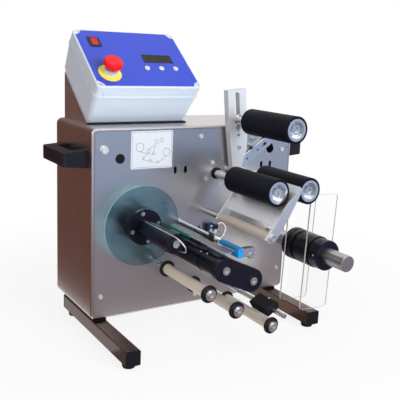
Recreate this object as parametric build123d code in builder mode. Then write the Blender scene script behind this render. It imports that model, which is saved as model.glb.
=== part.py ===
from build123d import *
import os
from math import atan2, cos, degrees, hypot, radians, sin, tan

os.makedirs("parts", exist_ok=True)

# Cabinet: a folded stainless shell with a flat front plate let into it
cabinet_width = 500
cabinet_height = 400
cabinet_depth = 200
sheet = 1.5
corner_radius = 12
front_bend = 5
front_rim = 7
rear_rim = 14
plate_thick = 4
plate_corner = 8
plate_gap = 0.2

# Legs, feet and handles
leg_size = 30
leg_wall = 2
leg_reach = 159
leg_tail = 169
leg_left_across = 20
leg_right_inset = 35
pad_thick = 3
foot_height = 9
foot_radius = 14
handle_out = 51
handle_long = 129
handle_start = 20
handle_root_high = 36
handle_grip_high = 27
handle_up = 336
finger_depth = 27

# Control box on its wedge
console_tilt = 37.6
console_width = 240
console_length = 182
console_base_high = 70
console_lid_high = 26
console_draft = 4
console_wall = 3
console_corner = 12
console_across = 17
console_back = 73
console_up = 3

# Rollers that hold the bottle
roller_radius = 27
roller_start = 72
roller_end = 222
core_radius = 22
drive_across = 293
drive_up = 294
drive_shaft_radius = 9
roller_pitch = 79
support_drop = 2
small_axle_radius = 6

# Pressure arm: it turns about a pivot between the two lower rollers
pivot_right = 42
pivot_rise = 6
arm_lean = 6
arm_front = 24
arm_back = 8
arm_top = 179
arm_left = 19
arm_right = 28
press_along = 115
press_side = 4.5
link_angle = 34.4
link_reach = 112

# The peel unit, sensor rod, traction pair and rewinder follow the drive roller, each from the one before
peel_left = 20
peel_drop = 84
rod_left = 64
rod_drop = 20
traction_right = 21
traction_drop = 58
rewind_left = 129
rewind_rise = 68

# Rewinder, traction pair, web rollers, label-roll holder
disc_radius = 84
mandrel_radius = 19
mandrel_end = 165
traction_radius = 20
traction_shaft_radius = 7.5
guide_left = 64
guide_rise = 29
web_roller_radius = 11
web_roller_end = 228
web_axle_radius = 4
roll_right_inset = 44
roll_up = 140
roll_shaft_radius = 17.5
roll_reach = 261

# Hexagon sockets of the screws
hex_sides = 6
socket_size = 4
socket_deep = 2.5

# Fits
fit = 0.05
seat = 0.3
cut_over = 2

# Places that follow from the sizes above
base_z = foot_height + leg_size + pad_thick
left_x = -cabinet_width / 2
tilt = radians(console_tilt)
console_rear = console_back + (console_length - console_draft / 2) * cos(tilt)
plate_y = (roll_reach - console_rear) / 2
support_across = drive_across + roller_pitch
support_up = drive_up - support_drop
pivot_across = drive_across + pivot_right
pivot_up = drive_up + pivot_rise
peel_across = drive_across - peel_left
peel_up = drive_up - peel_drop
rod_across = peel_across - rod_left
rod_up = peel_up - rod_drop
traction_across = rod_across + traction_right
traction_up = rod_up - traction_drop
rewind_across = traction_across - rewind_left
rewind_up = traction_up + rewind_rise
guide_across = traction_across - guide_left
guide_up = traction_up + guide_rise
roll_across = cabinet_width - roll_right_inset
leg_right_across = cabinet_width - leg_right_inset
lean = radians(arm_lean)


def on_arm(along):
    """Place on the line of the arm's slot, at a distance from the pivot."""
    return (
        pivot_across + press_side * cos(lean) - along * sin(lean),
        pivot_up + press_side * sin(lean) + along * cos(lean),
    )


press_across, press_up = on_arm(press_along)


def face(across, up, forward=0, turn=0):
    """Plane seen from the operator's side, placed from the cabinet's lower left front corner."""
    here = (left_x + across, plate_y - forward, base_z + up)
    right = (cos(radians(turn)), 0, sin(radians(turn)))
    return Plane(origin=here, x_dir=right, z_dir=(0, -1, 0))


def console(right, along, height):
    """Plane on the control box, parallel to its lid, placed from the base's lower left corner."""
    start_y = plate_y + console_back + along * cos(tilt) - height * sin(tilt)
    start_z = base_z + cabinet_height + console_up + along * sin(tilt) + height * cos(tilt)
    here = (left_x + console_across + right, start_y, start_z)
    return Plane(origin=here, x_dir=(1, 0, 0), z_dir=(0, -sin(tilt), cos(tilt)))


def disc(across, up, radius, rear, front, mode=Mode.ADD):
    """Round step about a fore-and-aft axis, from rear to front, both measured forward of the plate."""
    with BuildSketch(face(across, up, rear)) as outline:
        Circle(radius)
    extrude(outline.sketch, amount=front - rear, mode=mode)


def bore(across, up, radius, rear, front):
    """Hole along a fore-and-aft axis."""
    disc(across, up, radius, rear, front, Mode.SUBTRACT)


def block(across, up, width, height, rear, front, corner=0, turn=0, mode=Mode.ADD):
    """Rectangular step centred on a place of the front plate."""
    with BuildSketch(face(across, up, rear, turn)) as outline:
        if corner:
            RectangleRounded(width, height, corner)
        else:
            Rectangle(width, height)
    extrude(outline.sketch, amount=front - rear, mode=mode)


def post(plane, radius, height, mode=Mode.ADD):
    """Round step on any plane."""
    with BuildSketch(plane) as outline:
        Circle(radius)
    extrude(outline.sketch, amount=height, mode=mode)


def hex_socket(across, up, size, deep, front):
    """Hexagon socket sunk into a front face."""
    with BuildSketch(face(across, up, front - deep)) as outline:
        RegularPolygon(size, hex_sides)
    extrude(outline.sketch, amount=deep + cut_over, mode=Mode.SUBTRACT)


def save(builder, label):
    """Name a finished sub-part and write it."""
    builder.part.label = label
    export_step(builder.part, "parts/" + label + ".step")


# Holes of the front plate, each with its own radius
screw_radius = 2.5
screw_hole = 2.7
head_radius = 4.5
head_high = 2.6
housing_screw_ring = 27
housing_screw_turn = 24
housing_screws = 4
plug_across = 60.6
plug_up = 337.3
plug_radius = 10
nut_high = 6
nut_radius = 9
support_end = 216
corner_bolt_across = 25
corner_bolt_up = 357
corner_bolt_radius = 5
edge_inset = 21
low_edge_up = 50
mid_edge_across = 250
bottom_edge_up = 19
top_edge_up = 377
right_edge_inset = 27
high_edge_up = 340
rod_radius = 6
rod_reach = 259
brake_rod_radius = 5
brake_rod_right = 24
brake_rod_rise = 19
brake_rod_reach = 242
peel_shaft_radius = 7
arm_pivot_radius = 8
pin_radius = 4
slot_wide = 7
slot_long = 15
slot_up = 307
slot_left_across = 189
slot_right_inset = 84
slot_pitch = 25
web_across_shares = (0.6, 0.883, 1.26)
web_up_shares = (0.882, 0.555, 0.194)
web_places = [
    (a * traction_across, u * traction_up) for a, u in zip(web_across_shares, web_up_shares)
]
brake_rod_across = web_places[-1][0] + brake_rod_right
brake_rod_up = web_places[-1][1] + brake_rod_rise
edge_screws = [
    (edge_inset, low_edge_up),
    (mid_edge_across, bottom_edge_up),
    (cabinet_width - edge_inset, low_edge_up),
    (cabinet_width - right_edge_inset, high_edge_up),
    (mid_edge_across, top_edge_up),
]
housing_screw_places = [
    (
        drive_across + housing_screw_ring * cos(radians(housing_screw_turn + n * 360 / housing_screws)),
        drive_up + housing_screw_ring * sin(radians(housing_screw_turn + n * 360 / housing_screws)),
    )
    for n in range(housing_screws)
]
plain_axles = [
    (support_across, support_up, small_axle_radius),
    (rod_across, rod_up, rod_radius),
    (brake_rod_across, brake_rod_up, brake_rod_radius),
    (peel_across, peel_up, peel_shaft_radius),
    (roll_across, roll_up, roll_shaft_radius),
] + [(a, u, web_axle_radius) for a, u in web_places]
turning_shafts = [
    (drive_across, drive_up, drive_shaft_radius),
    (traction_across, traction_up, traction_shaft_radius),
    (rewind_across, rewind_up, traction_shaft_radius),
]

# Cabinet shell: one folded sheet with returns round the front, the rear and the underside
with BuildPart() as shell_void:
    with BuildSketch(face(cabinet_width / 2, cabinet_height / 2, -sheet)):
        RectangleRounded(
            cabinet_width - 2 * sheet, cabinet_height - 2 * sheet, corner_radius - sheet
        )
    extrude(amount=-(cabinet_depth - 2 * sheet))
    fillet(shell_void.faces().sort_by(Axis.Y)[0].edges(), front_bend - sheet)

under_flange = 40
under_rim = 30
handle_screw_inset = 14
handle_screw_radius = 3
handle_screw_hole = 3.2
cable_hole_radius = 12
cable_hole_across = 100
cable_hole_back = 130
handle_screw_backs = (
    handle_start + handle_screw_inset,
    handle_start + handle_long - handle_screw_inset,
)

with BuildPart() as cabinet_shell:
    with BuildSketch(face(cabinet_width / 2, cabinet_height / 2)):
        RectangleRounded(cabinet_width, cabinet_height, corner_radius)
    extrude(amount=-cabinet_depth)
    fillet(cabinet_shell.faces().sort_by(Axis.Y)[0].edges(), front_bend)
    add(shell_void.part, mode=Mode.SUBTRACT)
    with BuildSketch(face(cabinet_width / 2, cabinet_height / 2, cut_over)):
        RectangleRounded(
            cabinet_width - 2 * front_rim, cabinet_height - 2 * front_rim, plate_corner
        )
    extrude(amount=-2 * cut_over - sheet, mode=Mode.SUBTRACT)
    with BuildSketch(face(cabinet_width / 2, cabinet_height / 2, cut_over - cabinet_depth)):
        RectangleRounded(
            cabinet_width - 2 * rear_rim, cabinet_height - 2 * rear_rim, plate_corner
        )
    extrude(amount=-2 * cut_over - sheet, mode=Mode.SUBTRACT)
    under = Plane.XY.offset(base_z - cut_over)
    with BuildSketch(under):
        with Locations((0, plate_y + cabinet_depth / 2)):
            Rectangle(cabinet_width - 2 * under_flange, cabinet_depth - 2 * under_rim)
    extrude(amount=2 * cut_over + sheet, mode=Mode.SUBTRACT)
    for back in handle_screw_backs:
        side = Plane(
            origin=(left_x - cut_over, plate_y + back, base_z + handle_up), z_dir=(1, 0, 0)
        )
        post(side, handle_screw_hole, cabinet_width + 2 * cut_over, Mode.SUBTRACT)
    with BuildSketch(Plane.XY.offset(base_z + cabinet_height - sheet - cut_over)):
        with Locations((left_x + cable_hole_across, plate_y + cable_hole_back)):
            Circle(cable_hole_radius)
    extrude(amount=sheet + 2 * cut_over, mode=Mode.SUBTRACT)
save(cabinet_shell, "cabinet_shell")

# Front plate with the bores, screw holes, slots and the arm's curved slot
pin_slot_half = 10
pin_slot_down = 12
pin_slot_up = 3
small_hole_across = 254.5
small_hole_up = 175
small_hole_radius = 3
corner_hole_inset = 12
corner_hole_up = 344
corner_hole_radius = 2
small_holes = [
    (small_hole_across, small_hole_up, small_hole_radius),
    (cabinet_width - corner_hole_inset, corner_hole_up, corner_hole_radius),
]

with BuildPart() as front_plate:
    with BuildSketch(face(cabinet_width / 2, cabinet_height / 2, -plate_thick)):
        RectangleRounded(
            cabinet_width - 2 * front_rim - 2 * plate_gap,
            cabinet_height - 2 * front_rim - 2 * plate_gap,
            plate_corner - plate_gap,
        )
    extrude(amount=plate_thick)
    for across, up, radius in plain_axles:
        bore(across, up, radius, -plate_thick - cut_over, cut_over)
    for across, up, radius in turning_shafts:
        bore(across, up, radius + seat, -plate_thick - cut_over, cut_over)
    for across, up in edge_screws + housing_screw_places:
        bore(across, up, screw_hole, -plate_thick - cut_over, cut_over)
    bore(corner_bolt_across, corner_bolt_up, corner_bolt_radius, -plate_thick - cut_over, cut_over)
    bore(pivot_across, pivot_up, arm_pivot_radius + seat, -plate_thick - cut_over, cut_over)
    bore(plug_across, plug_up, plug_radius - cut_over, -plate_thick - cut_over, cut_over)
    for across, up, radius in small_holes:
        bore(across, up, radius, -plate_thick - cut_over, cut_over)
    for across in (slot_left_across, cabinet_width - slot_right_inset):
        with BuildSketch(face(across + slot_pitch / 2, slot_up, cut_over)):
            with GridLocations(slot_pitch, 0, 2, 1):
                SlotOverall(slot_long, slot_wide, rotation=90)
        extrude(amount=-plate_thick - 2 * cut_over, mode=Mode.SUBTRACT)
    with BuildSketch(face(pivot_across, pivot_up, cut_over)):
        with BuildLine(mode=Mode.PRIVATE) as pin_path:
            CenterArc((0, 0), link_reach, link_angle - pin_slot_down, pin_slot_down + pin_slot_up)
        SlotArc(pin_path.edge(), 2 * pin_slot_half)
    extrude(amount=-plate_thick - 2 * cut_over, mode=Mode.SUBTRACT)
save(front_plate, "front_plate")

# Inner frame: brackets behind the plate, four posts with the drive carrier, base pan and supply
bracket_size = 16
bracket_wall = 3
bracket_high = 22
bracket_clear = 1.2
post_radius = 6
gear_plate_depth = 76
gear_plate_thick = 3
gear_left_margin = 39
gear_right_margin = 53
gear_low_margin = 27
gear_high_margin = 41
gear_inset = 14
motor_left = 68
motor_drop = 44
motor_pilot = 19
bush_radius = 13
pan_rim = 22
pan_side = 12
supply_wide = 160
supply_deep = 98
supply_high = 38
supply_right_inset = 170
supply_back = 100
supply_corner = 3

motor_across = drive_across - motor_left
motor_up = drive_up - motor_drop
gear_left = rewind_across - gear_left_margin
gear_right = drive_across + gear_right_margin
gear_low = traction_up - gear_low_margin
gear_high = drive_up + gear_high_margin
gear_back = -gear_plate_depth - gear_plate_thick
gear_middle_across = (gear_left + gear_right) / 2
gear_middle_up = (gear_low + gear_high) / 2
gear_post_places = [
    (across, up)
    for across in (gear_left + gear_inset, gear_right - gear_inset)
    for up in (gear_low + gear_inset, gear_high - gear_inset)
]


def edge_bracket(across, up):
    """Angle between the plate's back and the nearest wall of the shell, with its screw hole."""
    lengths = {
        "left": across - sheet,
        "right": cabinet_width - sheet - across,
        "top": cabinet_height - sheet - up,
        "bottom": up - sheet,
    }
    side = min(lengths, key=lengths.get)
    way = 1 if side in ("right", "top") else -1
    reach = lengths[side] - bracket_clear + bracket_size / 2
    leg_off = way * (reach / 2 - bracket_size / 2)
    wall_off = way * (lengths[side] - bracket_wall / 2)
    leg_rear = -plate_thick - bracket_wall
    wall_front = -plate_thick - bracket_clear
    wall_rear = -plate_thick - bracket_size
    if side in ("left", "right"):
        block(across + leg_off, up, reach, bracket_high, leg_rear, -plate_thick)
        block(across + wall_off, up, bracket_wall, bracket_high, wall_rear, wall_front)
    else:
        block(across, up + leg_off, bracket_high, reach, leg_rear, -plate_thick)
        block(across, up + wall_off, bracket_high, bracket_wall, wall_rear, wall_front)
    bore(across, up, screw_hole, leg_rear - cut_over, -plate_thick)


with BuildPart() as inner_frame:
    for across, up in edge_screws:
        edge_bracket(across, up)
    block(
        gear_middle_across,
        gear_middle_up,
        gear_right - gear_left,
        gear_high - gear_low,
        gear_back,
        -gear_plate_depth,
        plate_corner,
    )
    for across, up, radius in turning_shafts:
        bore(across, up, bush_radius, gear_back - cut_over, cut_over - gear_plate_depth)
    bore(motor_across, motor_up, motor_pilot, gear_back - cut_over, cut_over - gear_plate_depth)
    for across, up in gear_post_places:
        disc(across, up, post_radius, -gear_plate_depth, -plate_thick)
        disc(across, up, head_radius, gear_back - head_high, gear_back)
    with BuildSketch(Plane.XY.offset(base_z + sheet)):
        with Locations((0, plate_y + cabinet_depth / 2)):
            Rectangle(cabinet_width - 2 * pan_side, cabinet_depth - 2 * pan_rim)
    extrude(amount=sheet)
    with BuildSketch(Plane.XY.offset(base_z + 2 * sheet)):
        with Locations((cabinet_width / 2 - supply_right_inset, plate_y + supply_back)):
            RectangleRounded(supply_wide, supply_deep, supply_corner)
    extrude(amount=supply_high)
save(inner_frame, "inner_frame")

# Vented rear cover
vent_long = 60
vent_wide = 4
vent_pitch = 12
vent_rows = 7
vent_columns = 2
vent_column_pitch = 90
vent_up = 270
inlet_width = 27
inlet_height = 48
inlet_right_inset = 70
inlet_up = 70
inlet_flange = 4
inlet_flange_thick = 2
inlet_deep = 24
cover_inset = 0.5
cover_screw_inset = 8
inlet_across = cabinet_width - inlet_right_inset
cover_back = -cabinet_depth - sheet

cover_screw_places = [
    (across, up)
    for across in (cover_screw_inset, cabinet_width / 2, cabinet_width - cover_screw_inset)
    for up in (cover_screw_inset, cabinet_height - cover_screw_inset)
]

with BuildPart() as rear_cover:
    with BuildSketch(face(cabinet_width / 2, cabinet_height / 2, -cabinet_depth)):
        RectangleRounded(
            cabinet_width - 2 * cover_inset, cabinet_height - 2 * cover_inset, corner_radius
        )
    extrude(amount=-sheet)
    with BuildSketch(face(cabinet_width / 2, vent_up, cover_back - cut_over)):
        with GridLocations(vent_column_pitch, vent_pitch, vent_columns, vent_rows):
            SlotOverall(vent_long, vent_wide)
    extrude(amount=sheet + 2 * cut_over, mode=Mode.SUBTRACT)
    block(
        inlet_across,
        inlet_up,
        inlet_width,
        inlet_height,
        cover_back - cut_over,
        -cabinet_depth + cut_over,
        mode=Mode.SUBTRACT,
    )
    for across, up in cover_screw_places:
        bore(across, up, screw_hole, cover_back - cut_over, -cabinet_depth + cut_over)
save(rear_cover, "rear_cover")

# Legs: two square tubes with black plugs, pads under the cabinet and round rubber feet
leg_places = (leg_left_across, leg_right_across)
leg_mid_up = -pad_thick - leg_size / 2
plug_lip = 3
foot_inset = 18
foot_tail_inset = 12
leg_edge = 2

with BuildPart() as leg_tubes:
    for across in leg_places:
        block(across, leg_mid_up, leg_size, leg_size, -leg_tail, leg_reach, leg_edge)
        inner = leg_size - 2 * leg_wall
        block(
            across,
            leg_mid_up,
            inner,
            inner,
            -leg_tail - cut_over,
            leg_reach + cut_over,
            mode=Mode.SUBTRACT,
        )
save(leg_tubes, "leg_tubes")

foot_top_share = 0.86
foot_places = [
    (left_x + across, plate_y - forward)
    for across in leg_places
    for forward in (leg_reach - foot_inset, -leg_tail + foot_tail_inset + foot_radius)
]

# Handles: moulded bars that stand out from both sides, open behind for the fingers
handle_round = 9
arm_wall = 24
handle_hole_deep = 20


def add_handle(way):
    """One handle on the side that way points to, swept along the cabinet's depth."""
    wall_x = way * cabinet_width / 2
    side = Plane(
        origin=(wall_x, plate_y + handle_start, base_z + handle_up), x_dir=(way, 0, 0), z_dir=(0, 1, 0)
    )
    root = handle_root_high / 2
    grip = handle_grip_high / 2
    with BuildPart(mode=Mode.PRIVATE) as bar:
        with BuildSketch(side):
            with BuildLine():
                Polyline((0, -root), (handle_out, -grip), (handle_out, grip), (0, root), close=True)
            make_face()
        extrude(amount=handle_long)
        outer = bar.faces().sort_by(Axis.X)[-1 if way > 0 else 0]
        ends = outer.edges().filter_by(Axis.Z)
        fillet(ends, handle_round)
        with BuildSketch(Plane.XY.offset(base_z + handle_up - handle_root_high)):
            middle = plate_y + handle_start + handle_long / 2
            with Locations((wall_x + way * (finger_depth / 2 - cut_over), middle)):
                RectangleRounded(
                    finger_depth + 2 * cut_over, handle_long - 2 * arm_wall, handle_round
                )
        extrude(amount=2 * handle_root_high, mode=Mode.SUBTRACT)
        for back in handle_screw_backs:
            hole = Plane(
                origin=(wall_x, plate_y + back, base_z + handle_up), z_dir=(way, 0, 0)
            )
            post(hole, handle_screw_hole, handle_hole_deep, Mode.SUBTRACT)
    return bar.part


handle_solids = [add_handle(way) for way in (-1, 1)]
with BuildPart() as handles:
    for solid in handle_solids:
        add(solid)
save(handles, "handles")

# Wedge that holds the control box: folded sides, sloping seat and back
wedge_inset = 1
wedge_wall = 2
wedge_narrow = 12
wedge_high = console_up + (cabinet_depth - console_back) * tan(tilt)
wedge_width = console_width - wedge_narrow


def wedge_profile(grow):
    """Triangle of the wedge's side, drawn back and up; grow moves its faces inwards."""
    low = -cut_over if grow else 0
    front = console_back + grow * 2
    back = cabinet_depth - grow
    slope_drop = grow / cos(tilt)
    Polyline(
        (front, low),
        (back, low),
        (back, wedge_high - grow * tan(tilt) - slope_drop),
        (front, max(console_up + (front - console_back) * tan(tilt) - slope_drop, low + cut_over / 2)),
        close=True,
    )


wedge_left = left_x + console_across + wedge_inset
wedge_plane = Plane(
    origin=(wedge_left, plate_y, base_z + cabinet_height), x_dir=(0, 1, 0), z_dir=(1, 0, 0)
)
with BuildPart() as console_bracket:
    with BuildSketch(wedge_plane):
        with BuildLine():
            wedge_profile(0)
        make_face()
    extrude(amount=wedge_width)
    with BuildSketch(wedge_plane.offset(wedge_wall)):
        with BuildLine():
            wedge_profile(wedge_wall)
        make_face()
    extrude(amount=wedge_width - 2 * wedge_wall, mode=Mode.SUBTRACT)
    post(
        console(cable_hole_across - console_across, console_length / 2, -2 * cut_over),
        cable_hole_radius,
        3 * cut_over,
        Mode.SUBTRACT,
    )
save(console_bracket, "console_bracket")

# Control box base: drafted walls with a lip at the seam
lip_out = 1.5
lip_high = 4
base_floor = 3


def box_plane(height):
    """Plane across the middle of the control box at a height above its underside."""
    return console(console_width / 2, console_length / 2, height)


with BuildPart() as console_base:
    with BuildSketch(box_plane(0)):
        RectangleRounded(
            console_width - 2 * console_draft, console_length - console_draft, console_corner
        )
    with BuildSketch(box_plane(console_base_high)):
        RectangleRounded(console_width, console_length, console_corner)
    loft()
    with BuildSketch(box_plane(console_base_high - lip_high)):
        RectangleRounded(
            console_width + 2 * lip_out, console_length + 2 * lip_out, console_corner + lip_out
        )
    extrude(amount=lip_high)
    with BuildSketch(box_plane(base_floor)):
        RectangleRounded(
            console_width - 2 * console_draft - 2 * console_wall,
            console_length - console_draft - 2 * console_wall,
            console_corner - console_wall,
        )
    with BuildSketch(box_plane(console_base_high + base_floor)):
        RectangleRounded(
            console_width - 2 * console_wall,
            console_length - 2 * console_wall,
            console_corner - console_wall,
        )
    loft(mode=Mode.SUBTRACT)
    post(
        console(cable_hole_across - console_across, console_length / 2, -cut_over),
        cable_hole_radius,
        base_floor + 2 * cut_over,
        Mode.SUBTRACT,
    )
save(console_base, "console_base")

# Control box lid with the openings for the stop switch, rocker, display and keys
lid_top = console_base_high + console_lid_high
panel_thick = 0.8
panel_inset = 4
panel_corner_cut = 19
stop_right = 39
stop_along = 40
stop_barrel = 11
rocker_right = 38
rocker_along = 140
rocker_hole_wide = 22
rocker_hole_long = 26
display_right_inset = 73.5
display_along = 90.5
display_wide = 70
display_high = 25
key_left = 35.9
key_pitch = 34
key_along = 59
key_radius = 6
key_count = 3
key_play = 0.3
lid_edge = 2
boss_inset = 9
boss_radius = 5
boss_deep = 4
tab_wide = 2.5
tab_high = 9
tab_deep = 1.2
tab_inset = 16
display_right = console_width - display_right_inset
key_places = [(display_right - key_left + n * key_pitch, key_along) for n in range(key_count)]
lid_screw_places = [
    (right, along)
    for right in (boss_inset, console_width - boss_inset)
    for along in (boss_inset, console_length - boss_inset)
]


def lid_openings():
    """Openings that the lid and the panel share, drawn on the lid's plane from its middle."""
    half_wide = console_width / 2
    half_long = console_length / 2
    with Locations((stop_right - half_wide, stop_along - half_long)):
        Circle(stop_barrel)
    with Locations((rocker_right - half_wide, rocker_along - half_long)):
        Rectangle(rocker_hole_wide, rocker_hole_long)
    with Locations((display_right - half_wide, display_along - half_long)):
        Rectangle(display_wide, display_high)
    with Locations([(r - half_wide, a - half_long) for r, a in key_places]):
        Circle(key_radius + key_play)


with BuildPart() as console_lid:
    with BuildSketch(box_plane(console_base_high)):
        RectangleRounded(console_width, console_length, console_corner)
    extrude(amount=console_lid_high)
    top_face = console_lid.faces().sort_by(Axis((0, 0, 0), (0, -sin(tilt), cos(tilt))))[-1]
    fillet(top_face.edges(), lid_edge)
    with BuildSketch(box_plane(console_base_high - cut_over)):
        RectangleRounded(
            console_width - 2 * console_wall,
            console_length - 2 * console_wall,
            console_corner - console_wall,
        )
    extrude(amount=console_lid_high - console_wall + cut_over, mode=Mode.SUBTRACT)
    for right, along in lid_screw_places:
        post(
            console(right, along, console_base_high),
            boss_radius + console_wall,
            console_lid_high - console_wall,
        )
    with BuildSketch(box_plane(lid_top - console_wall - cut_over)):
        lid_openings()
    extrude(amount=console_wall + 2 * cut_over, mode=Mode.SUBTRACT)
    for right, along in lid_screw_places:
        post(
            console(right, along, lid_top - boss_deep),
            boss_radius,
            boss_deep + cut_over,
            Mode.SUBTRACT,
        )
        post(
            console(right, along, console_base_high - cut_over),
            screw_hole,
            console_lid_high,
            Mode.SUBTRACT,
        )
    with BuildSketch(box_plane(console_base_high - cut_over)):
        for along in (-console_length / 2, console_length / 2):
            for right in (tab_inset - console_width / 2, console_width / 2 - tab_inset):
                with Locations((right, along)):
                    Rectangle(tab_wide, 2 * tab_deep)
    extrude(amount=tab_high + cut_over, mode=Mode.SUBTRACT)
save(console_lid, "console_lid")

with BuildPart() as console_panel:
    with BuildSketch(box_plane(lid_top)) as panel_sketch:
        Rectangle(console_width - 2 * panel_inset, console_length - 2 * panel_inset)
        with GridLocations(console_width, console_length, 2, 2):
            Circle(panel_corner_cut, mode=Mode.SUBTRACT)
    extrude(amount=panel_thick)
    with BuildSketch(box_plane(lid_top - cut_over)):
        lid_openings()
    extrude(amount=panel_thick + 2 * cut_over, mode=Mode.SUBTRACT)
save(console_panel, "console_panel")

# Display: dark frame with its window, over the module on the control board
display_rim = 3
display_proud = 0.8
board_thick = 1.6
board_gap = 12
board_wide = 130
board_long = 84
board_top = lid_top - console_wall - board_gap
key_switch_size = 6

with BuildPart() as display:
    with BuildSketch(console(display_right, display_along, board_top)):
        Rectangle(display_wide - 2 * key_play, display_high - 2 * key_play)
    extrude(amount=lid_top + panel_thick + display_proud - board_top)
    with BuildSketch(console(display_right, display_along, lid_top + panel_thick)):
        Rectangle(display_wide - 2 * display_rim, display_high - 2 * display_rim)
    extrude(amount=display_proud + cut_over, mode=Mode.SUBTRACT)

switch_high = 4
with BuildPart() as control_board:
    board_right = display_right
    board_along = (display_along + key_along) / 2
    with BuildSketch(console(board_right, board_along, board_top - board_thick)):
        Rectangle(board_wide, board_long)
    extrude(amount=board_thick)
    for right, along in key_places:
        with BuildSketch(console(right, along, board_top)):
            Rectangle(key_switch_size, key_switch_size)
        extrude(amount=switch_high)
    stand_right = board_wide / 2 - boss_radius
    stand_along = board_long / 2 - boss_radius
    for right in (board_right - stand_right, board_right + stand_right):
        for along in (board_along - stand_along, board_along + stand_along):
            post(console(right, along, board_top), boss_radius / 2, board_gap)
    add(display.part)
save(control_board, "display_board")

# Keys: white caps that press the small switches of the board
key_proud = 2.5
key_travel = 1
key_skirt = 1.2


def key_cap(place):
    """Round cap with a stem down to its switch."""
    right, along = place
    with BuildPart() as cap:
        stem_from = board_top + switch_high + key_travel + fit
        post(console(right, along, stem_from), key_radius / 2, lid_top - stem_from)
        post(console(right, along, lid_top - key_skirt), key_radius, key_skirt + panel_thick + key_proud)
        top = cap.faces().sort_by(Axis((0, 0, 0), (0, -sin(tilt), cos(tilt))))[-1]
        fillet(top.edges(), key_skirt)
    return cap


key_near = key_cap(key_places[0])
key_middle = key_cap(key_places[1])
key_far = key_cap(key_places[2])
save(key_near, "key_left")
save(key_middle, "key_middle")
save(key_far, "key_right")

# Emergency stop: yellow collar, steel neck and barrel with its nut and contact block, red mushroom
collar_radius = 24.5
collar_thick = 2.5
neck_radius = 14.5
neck_high = 12
stop_nut_radius = 15
stop_nut_high = 5
contact_size = 30
contact_high = 34
stem_radius = 5
stop_travel = 4
head_start = 20
head_rim_high = 5
head_crown = 10
crown_round_share = 0.5
stop_head_radius = 20
head_under_radius = 12
panel_top = lid_top + panel_thick

with BuildPart() as stop_collar:
    post(console(stop_right, stop_along, panel_top), collar_radius, collar_thick)
    post(
        console(stop_right, stop_along, panel_top - cut_over),
        stop_barrel,
        collar_thick + 2 * cut_over,
        Mode.SUBTRACT,
    )
save(stop_collar, "stop_collar")

with BuildPart() as stop_body:
    barrel_low = lid_top - console_wall - stop_nut_high - cut_over
    post(console(stop_right, stop_along, barrel_low), stop_barrel, panel_top + collar_thick - barrel_low)
    post(console(stop_right, stop_along, panel_top + collar_thick), neck_radius, neck_high)
    post(
        console(stop_right, stop_along, lid_top - console_wall - stop_nut_high),
        stop_nut_radius,
        stop_nut_high,
    )
    with BuildSketch(console(stop_right, stop_along, barrel_low - contact_high)):
        Rectangle(contact_size, contact_size)
    extrude(amount=contact_high)
    stem_low = panel_top + collar_thick + neck_high - head_start
    post(
        console(stop_right, stop_along, stem_low - stop_travel),
        stem_radius + fit,
        head_start + 2 * stop_travel,
        Mode.SUBTRACT,
    )
save(stop_body, "stop_body")

head_low = panel_top + collar_thick + neck_high + stop_travel + seat
with BuildPart() as stop_head:
    post(console(stop_right, stop_along, stem_low + fit), stem_radius, head_low - stem_low)
    with BuildSketch(console(stop_right, stop_along, head_low)):
        Circle(head_under_radius)
    with BuildSketch(console(stop_right, stop_along, head_low + head_rim_high)):
        Circle(stop_head_radius)
    loft()
    post(console(stop_right, stop_along, head_low + head_rim_high), stop_head_radius, head_crown)
    crown = stop_head.faces().sort_by(Axis((0, 0, 0), (0, -sin(tilt), cos(tilt))))[-1]
    fillet(crown.edges(), head_crown * crown_round_share)
save(stop_head, "stop_head")

# Power rocker in its black frame
frame_rim = 2.5
frame_proud = 1.5
frame_deep = 18
rocker_wide = 15
rocker_long = 20
rocker_pin = 1.5
rocker_drop = 3
rocker_crown = 3.5
pin_long = 1.5
rocker_play = 1.2
ridge_side_share = 0.5
ridge_rear_share = 0.8

with BuildPart() as switch_frame:
    with BuildSketch(console(rocker_right, rocker_along, panel_top)):
        RectangleRounded(rocker_hole_wide + 2 * frame_rim, rocker_hole_long + 2 * frame_rim, frame_rim)
    extrude(amount=frame_proud)
    with BuildSketch(console(rocker_right, rocker_along, panel_top - frame_deep)):
        Rectangle(rocker_hole_wide, rocker_hole_long)
    extrude(amount=frame_deep)
    with BuildSketch(console(rocker_right, rocker_along, panel_top - frame_deep + frame_rim)):
        Rectangle(rocker_wide + 2 * rocker_play, rocker_long + 2 * rocker_play)
    extrude(amount=frame_deep + frame_proud, mode=Mode.SUBTRACT)
    pin_plane = Plane(
        origin=console(
            rocker_right - rocker_wide / 2 - pin_long - rocker_play, rocker_along, panel_top - rocker_drop
        ).origin,
        x_dir=(0, cos(tilt), sin(tilt)),
        z_dir=(1, 0, 0),
    )
    post(pin_plane, rocker_pin + fit, rocker_wide + 2 * (pin_long + rocker_play), Mode.SUBTRACT)

rocker_plane = Plane(
    origin=console(rocker_right - rocker_wide / 2, rocker_along, panel_top - rocker_drop).origin,
    x_dir=(0, cos(tilt), sin(tilt)),
    z_dir=(1, 0, 0),
)
with BuildPart() as power_rocker:
    half = rocker_long / 2
    ridge = rocker_drop + rocker_crown
    with BuildSketch(rocker_plane):
        with BuildLine():
            Polyline(
                (-half + rocker_crown, -half / 2),
                (half - rocker_crown, -half / 2),
                (half, ridge * ridge_side_share),
                (half, ridge),
                (0, ridge - rocker_crown / 2),
                (-half, ridge * ridge_rear_share),
                (-half, ridge * ridge_side_share),
                close=True,
            )
        make_face()
    extrude(amount=rocker_wide)
    pins = rocker_plane.offset(-pin_long)
    post(pins, rocker_pin, rocker_wide + 2 * pin_long)
save(power_rocker, "power_rocker")

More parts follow.
